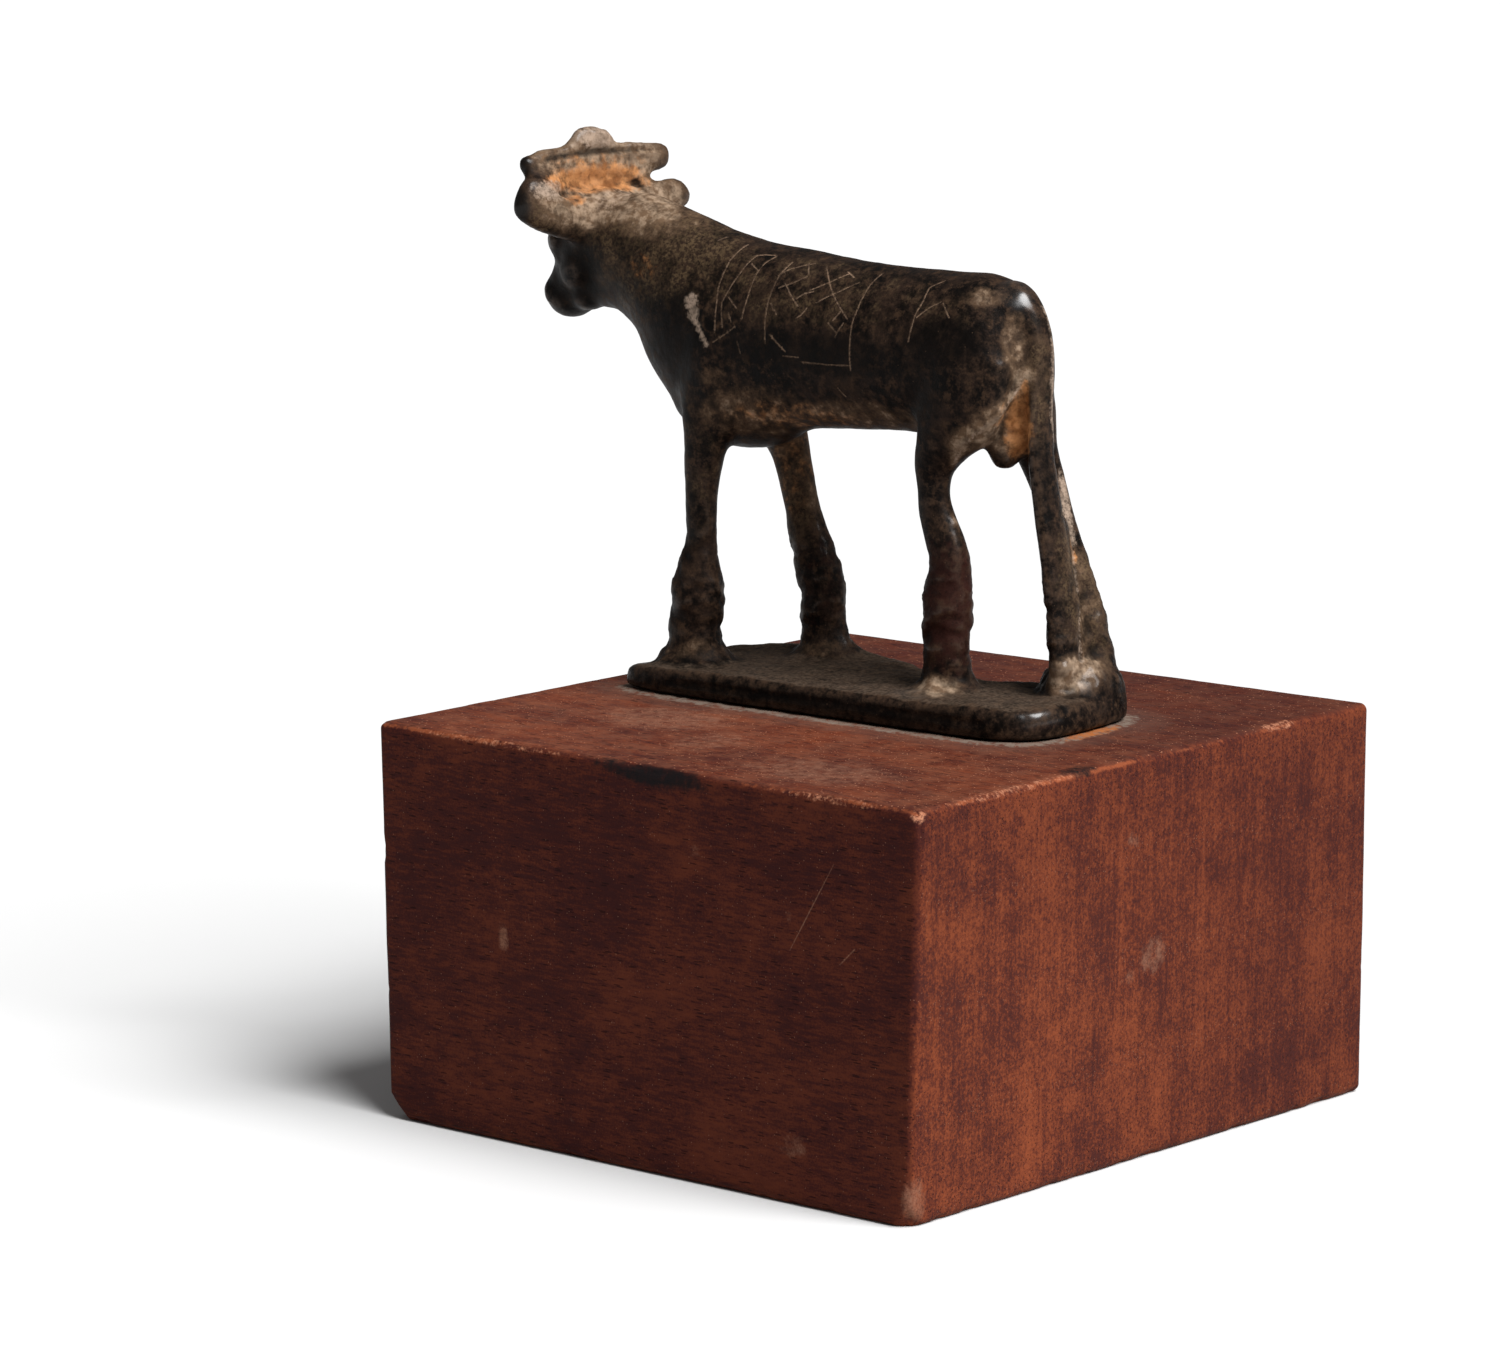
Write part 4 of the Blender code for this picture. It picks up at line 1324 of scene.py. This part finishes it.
@dataclass(frozen=True)
class PatinatedBronze:
    """Dark brown bronze, satin where handled, with earth in its hollows, and painted shade in the hollows and
    on the parts that face away from the light.
    """

    name: str = "patinated_bronze_finish"
    black: Colour = (0.0034, 0.0027, 0.0024)
    brown: Colour = (0.0210, 0.0125, 0.0088)
    warm: Colour = (0.0500, 0.0285, 0.0165)
    tan: Colour = (0.1250, 0.0760, 0.0450)
    ash: Colour = (0.3000, 0.2130, 0.1450)
    olive: Colour = (0.0840, 0.0550, 0.0300)
    rust: Colour = (0.2600, 0.1000, 0.0330)
    ember: Colour = (0.5400, 0.2400, 0.0900)
    red: Colour = (0.0270, 0.0090, 0.0068)
    pale: Colour = (0.3300, 0.2450, 0.1850)
    dust: Colour = (0.0900, 0.0620, 0.0430)
    stroke: Colour = (0.2300, 0.1500, 0.1000)
    specular: float = 0.04
    ridge_coat: float = 0.30
    coat_roughness: float = 0.22
    bump_height: float = 0.00013
    bump_strength: float = 0.8

    def build(self, effects: SharedEffects) -> bpy.types.Material:
        """Makes the material.

        Args:
            effects: the shared node groups.

        Returns:
            The material.
        """
        board = FinishBoard(self.name, effects)
        place = board.place
        cloud = board.noise(place, 0.28, 6.0, 0.66)
        mottle = board.noise(place, 1.1, 8.0, 0.72)
        grain = board.noise(place, 5.0, 5.0, 0.7)
        fleck = board.noise(place, 2.8, 6.0, 0.72)
        drift = board.noise(place, 0.75, 4.0, 0.55)
        chalk = board.noise(place, 1.1, 4.0, 0.60)
        tan, rust = board.film(Film.TAN, 0.6, 0.75), board.film(Film.RUST, 1.2, 0.8)
        dust, pale = board.film(Film.DUST, 0.7, 0.7), board.film(Film.PALE, 2.4, 1.0)
        covered = board.most(tan, rust, dust, pale)
        polish = board.mask(Film.POLISH.value)
        ridge = board.times(board.mask(Film.RIDGE.value), board.ease(mottle, 0.35, 0.60))

        olive = board.times(board.film(Film.OLIVE, 0.5, 1.1), board.ease(cloud, 0.42, 0.56, 0.35, 1.0))
        dappled = board.mix(board.ease(fleck, 0.42, 0.58), self.brown, self.olive)
        chalky = board.times(board.ease(chalk, 0.38, 0.62), board.ease(tan, 0.35, 0.95))
        earth = board.mix(chalky, self.tan, self.ash)
        thin = board.times(tan, board.ease(drift, 0.34, 0.54, 0.55, 1.0))
        glow = board.mix(board.ease(drift, 0.38, 0.60), self.rust, self.ember)
        settled = board.times(dust, board.ease(fleck, 0.38, 0.60, 0.25, 1.0))
        stroke = board.times(board.mask(Film.STROKE.value), board.ease(fleck, 0.38, 0.58, 0.25, 0.95))
        pitted = board.ease(board.noise(place, 2.6, 7.0, 0.8), 0.46, 0.36)
        layers = (
            (self.warm, board.ease(mottle, 0.50, 0.64), 0.6),
            (dappled, olive, 0.95),
            (self.black, board.film(Film.DEEP, 0.45, 0.75), 0.86),
            # Tan earth, which on the belly is a painted reflection.
            (earth, thin, 0.95),
            (self.red, board.film(Film.RED, 0.9, 0.8), 0.8),
            (glow, rust, 0.85),
            (self.dust, settled, 0.75),
            (self.stroke, stroke, 1.0),
            # Pale scars and streaks, partly painted highlights along the ridges.
            (self.pale, pale, 0.9),
            (self.tan, board.specks(place, 2.4, 0.12, 0.10), 0.45),
            (self.black, pitted, board.blend(covered, 0.72, 0.22)),
            # Raised edges lighter and warmer: rubbed through, and partly a painted highlight.
            (self.warm, ridge, 0.55),
            # Painted shade: the hollows darkened with black, less where orange earth lies.
            (self.black, board.mask(Film.HOLLOW_SHADE.value), board.blend(rust, 0.68, 0.30)),
            # Painted shade over the ends and lines that face away from the light.
            (self.black, board.film(Film.SHADE, 1.1, 0.55), 0.96),
        )
        tone = board.summed((cloud, 0.5), (mottle, 0.5))
        colour = board.mix(board.ease(tone, 0.42, 0.57), self.black, self.brown)
        rough = board.blend(covered, board.ease(mottle, 0.35, 0.65, 0.38, 0.55), 0.80)
        height = board.summed((mottle, 0.8), (grain, 0.22), (covered, 0.25))
        return board.finished(
            {
                "Base Color": board.layered(colour, layers),
                "Roughness": board.blend(polish, rough, 0.25),
                "Specular IOR Level": self.specular,
                "Coat Weight": board.most(board.times(ridge, self.ridge_coat), polish),
                "Coat Roughness": self.coat_roughness,
                "Normal": board.bump(height, self.bump_height, self.bump_strength),
            }
        )


@dataclass(frozen=True)
class Hairline:
    """A thin pale scratch on the block, in millimetres."""

    start: Point
    end: Point
    width: float

    def feeds(self, place: Feed) -> dict[str, Feed]:
        """What the scratches' node group is given."""
        return {"Place": place, "Start": self.start, "End": self.end, "Width": self.width}


HAIRLINES = (
    Hairline((14.6, 34.6, 23.2), (13.6, 34.6, 18.8), 0.10),
    Hairline((13.6, 34.6, 18.8), (13.8, 34.6, 6.9), 0.12),
    Hairline((-24.5, 34.6, 33.4), (-19.1, 34.6, 24.5), 0.10),
    Hairline((6.7, 34.6, 14.9), (6.1, 34.6, 12.0), 0.12),
    Hairline((-27.1, 34.6, 25.7), (-25.3, 34.6, 24.0), 0.12),
    Hairline((3.5, 24.8, 39.8), (1.3, 18.6, 39.8), 0.12),
    Hairline((-13.8, 29.8, 39.8), (-19.0, 24.0, 39.8), 0.10),
    Hairline((17.5, 21.0, 39.8), (9.0, 13.0, 39.8), 0.12),
    Hairline((-34.6, 7.7, 36.6), (-34.6, 6.9, 32.0), 0.09),
)


@dataclass(frozen=True)
class StainedHardwood:
    """Red-brown stained hardwood: growth layers upright across the ends, pores drawn out along the length."""

    name: str = "stained_hardwood_finish"
    dark: Colour = (0.0480, 0.0138, 0.0112)
    middle: Colour = (0.0900, 0.0215, 0.0120)
    warm: Colour = (0.1800, 0.0450, 0.0185)
    # The painted shade's colour.
    shade: Colour = (0.0210, 0.0056, 0.0066)
    dusty: Colour = (0.2000, 0.0760, 0.0420)
    pore: Colour = (0.0120, 0.0042, 0.0040)
    worn: Colour = (0.2600, 0.0700, 0.0280)
    bare: Colour = (0.4600, 0.2000, 0.1150)
    pale: Colour = (0.2100, 0.1000, 0.0640)
    black: Colour = (0.0080, 0.0078, 0.0085)
    putty: Colour = (0.1700, 0.1350, 0.1080)
    dust: Colour = (0.0950, 0.0500, 0.0370)
    glue: Colour = (0.3000, 0.0950, 0.0260)
    layer_lean: float = math.radians(14.0)
    scuff_turn: float = math.radians(24.0)
    specular: float = 0.02
    bump_height: float = 0.00012
    bump_strength: float = 0.8

    def build(self, effects: SharedEffects) -> bpy.types.Material:
        """Makes the material.

        Args:
            effects: the shared node groups.

        Returns:
            The material.
        """
        board = FinishBoard(self.name, effects)
        place = board.place
        lean = (self.layer_lean, 0.0, 0.0)
        broad = board.noise(place, 0.085, 4.0, 0.6)
        cloud = board.noise(place, 0.42, 6.0, 0.66)
        band = board.noise(board.scaled(place, (0.012, 0.42, 0.022), lean), 1.0, 3.0, 0.55)
        line = board.noise(board.scaled(place, (0.05, 2.6, 0.10), lean), 1.0, 3.0, 0.6)
        strand = board.noise(board.scaled(place, (0.16, 0.9, 1.1)), 1.0, 6.0, 0.68)
        thread = board.noise(board.scaled(place, (0.14, 1.0, 0.8)), 3.4, 4.0, 0.65)
        grain = board.noise(place, 4.4, 4.0, 0.7)
        upper = board.mask(Mark.TOP.value)
        pale, putty = board.film(Mark.PALE, 0.9, 0.9), board.film(Mark.PUTTY, 1.3, 1.7)
        scratch = board.most(*(board.group(effects.scratch, hair.feeds(place)) for hair in HAIRLINES))

        settled = board.times(upper, board.ease(board.noise(place, 0.30, 6.0, 0.7), 0.36, 0.64))
        pores = board.specks(board.scaled(place, (0.50, 3.2, 3.2)), 1.0, 0.24, 0.55)
        scuffs = board.scaled(place, (0.7, 2.6, 1.0), (0.0, 0.0, self.scuff_turn))
        layers = (
            (self.dark, upper, 0.30),
            (self.dusty, settled, 0.34),
            # Painted shade laid over the sides that the light reaches less.
            (self.shade, board.mask(Mark.SHADE.value), 0.57),
            (self.pore, pores, 0.70),
            (self.pale, board.specks(place, 3.6, 0.20, 0.09), 0.60),
            (self.worn, board.times(board.specks(scuffs, 1.3, 0.16, 0.16), upper), 0.45),
            (self.bare, board.times(board.specks(place, 2.7, 0.18, 0.28), upper), 0.80),
            (self.pale, board.times(pale, board.ease(grain, 0.30, 0.62, 0.35, 1.0)), 0.75),
            (self.dust, board.film(Mark.DUST, 0.5, 0.7), 0.45),
            (self.worn, board.film(Mark.EDGE, 1.4, 1.4), 0.6),
            (self.bare, board.film(Mark.BARE, 2.2, 1.5), 0.8),
            (self.black, board.film(Mark.BLACK, 0.9, 0.8), 0.93),
            (self.pale, board.times(scratch, board.ease(grain, 0.35, 0.6, 0.35, 1.0)), 1.0),
            (self.putty, putty, 0.8),
            (self.glue, board.film(Mark.GLUE, 1.5, 1.1), 0.9),
        )
        bands = board.summed((band, 0.20), (broad, 0.40), (cloud, 0.14), (strand, 0.26))
        threads = board.summed((line, 0.20), (thread, 0.50), (grain, 0.40))
        # The threads swing about nought, so half their weights comes off again.
        tone = board.calc("ADD", bands, board.calc("SUBTRACT", threads, 0.5 * (0.20 + 0.50 + 0.40)))
        colour = board.mix(board.ease(tone, 0.36, 0.55), self.dark, self.middle)
        colour = board.mix(board.ease(tone, 0.44, 0.68), colour, self.warm)
        rough = board.blend(board.most(putty, pale), board.ease(thread, 0.3, 0.7, 0.42, 0.60), 0.80)
        height = board.summed((thread, 0.5), (grain, 0.35), (pores, -0.6), (scratch, -0.5))
        return board.finished(
            {
                "Base Color": board.layered(colour, layers),
                "Roughness": rough,
                "Specular IOR Level": self.specular,
                "Normal": board.bump(height, self.bump_height, self.bump_strength),
            }
        )


@dataclass
class Studio:
    """The pale floor, the soft light from the right and the camera at the photograph's place."""

    azimuth: float = math.radians(221.75)
    elevation: float = math.radians(10.56)
    roll: float = math.radians(-0.54)
    distance: float = 0.70686
    aside: float = -0.01232
    above: float = 0.04235
    picture_width: float = 1500.0
    focal_pixels: float = 7098.0
    floor_half: float = 6.0
    floor_colour: Colour = (0.62, 0.62, 0.62)
    key_strength: float = 6.2
    key_angle: float = math.radians(38.0)
    key_heading: Point = (-0.64, 0.03, 0.77)
    sky: float = 0.18
    sensor_width: float = 36.0
    nearest: float = 0.01
    farthest: float = 30.0

    def build(self) -> None:
        """Sets up everything that isn't part of the object."""
        self.add_floor()
        self.add_key()
        self.add_sky()
        self.add_camera()
        bpy.context.scene.view_settings.view_transform = "Standard"
        LOG.info("studio: floor, key light, sky and camera")

    def add_floor(self) -> None:
        """A square floor, larger than the camera sees."""
        size = self.floor_half
        corners = [(-size, -size, 0.0), (size, -size, 0.0), (size, size, 0.0), (-size, size, 0.0)]
        mesh = bpy.data.meshes.new("floor")
        mesh.from_pydata(corners, [], [(0, 1, 2, 3)])
        material = bpy.data.materials.new("pale_paper")
        material.use_nodes = True
        shader = material.node_tree.nodes["Principled BSDF"]
        shader.inputs["Base Color"].default_value = opaque(self.floor_colour)
        shader.inputs["Roughness"].default_value = 0.95
        shader.inputs["Specular IOR Level"].default_value = 0.0
        mesh.materials.append(material)
        floor = bpy.data.objects.new("floor", mesh)
        bpy.context.scene.collection.objects.link(floor)

    def add_key(self) -> None:
        """A wide soft light that shines on the block's rump end and skims its left side."""
        light = bpy.data.lights.new("key", "SUN")
        light.energy = self.key_strength
        light.angle = self.key_angle
        lamp = bpy.data.objects.new("key", light)
        lamp.rotation_euler = Vector(self.key_heading).to_track_quat("Z", "Y").to_euler()
        bpy.context.scene.collection.objects.link(lamp)

    def add_sky(self) -> None:
        """An even pale surround."""
        world = bpy.data.worlds.new("studio")
        world.use_nodes = True
        backdrop = world.node_tree.nodes["Background"]
        backdrop.inputs["Color"].default_value = (1.0, 1.0, 1.0, 1.0)
        backdrop.inputs["Strength"].default_value = self.sky
        bpy.context.scene.world = world

    def add_camera(self) -> None:
        """The camera where the photograph was taken from.

        Formula: it looks back along its own direction from the given azimuth and elevation, after moving
        aside and above in its own picture plane, and its lens is the focal length in pixels as a share of
        the picture's width, times the sensor's width.
        """
        flat = math.cos(self.elevation)
        back = Vector(
            (math.sin(self.azimuth) * flat, -math.cos(self.azimuth) * flat, math.sin(self.elevation))
        )
        right = (-back).cross(Vector((0.0, 0.0, 1.0))).normalized()
        up = right.cross(-back)
        spot = back * self.distance + right * self.aside + up * self.above
        tipped_right = right * math.cos(self.roll) + up * math.sin(self.roll)
        tipped_up = up * math.cos(self.roll) - right * math.sin(self.roll)
        data = bpy.data.cameras.new("camera")
        data.sensor_width = self.sensor_width
        data.lens = data.sensor_width * self.focal_pixels / self.picture_width
        data.clip_start = self.nearest
        data.clip_end = self.farthest
        camera = bpy.data.objects.new("camera", data)
        turned = Matrix((tipped_right, tipped_up, back)).transposed().to_4x4()
        camera.matrix_world = Matrix.Translation(spot) @ turned
        bpy.context.scene.collection.objects.link(camera)
        bpy.context.scene.camera = camera


def main() -> None:
    """Builds the two pieces and the studio."""
    logging.basicConfig(level=logging.INFO, format="%(name)s: %(message)s")
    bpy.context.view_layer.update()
    Studio().build()
    effects = SharedEffects()
    BronzeFigure(FigureFrame()).build(PatinatedBronze().build(effects))
    HardwoodBlock().build(StainedHardwood().build(effects))


if __name__ == "__main__":
    main()
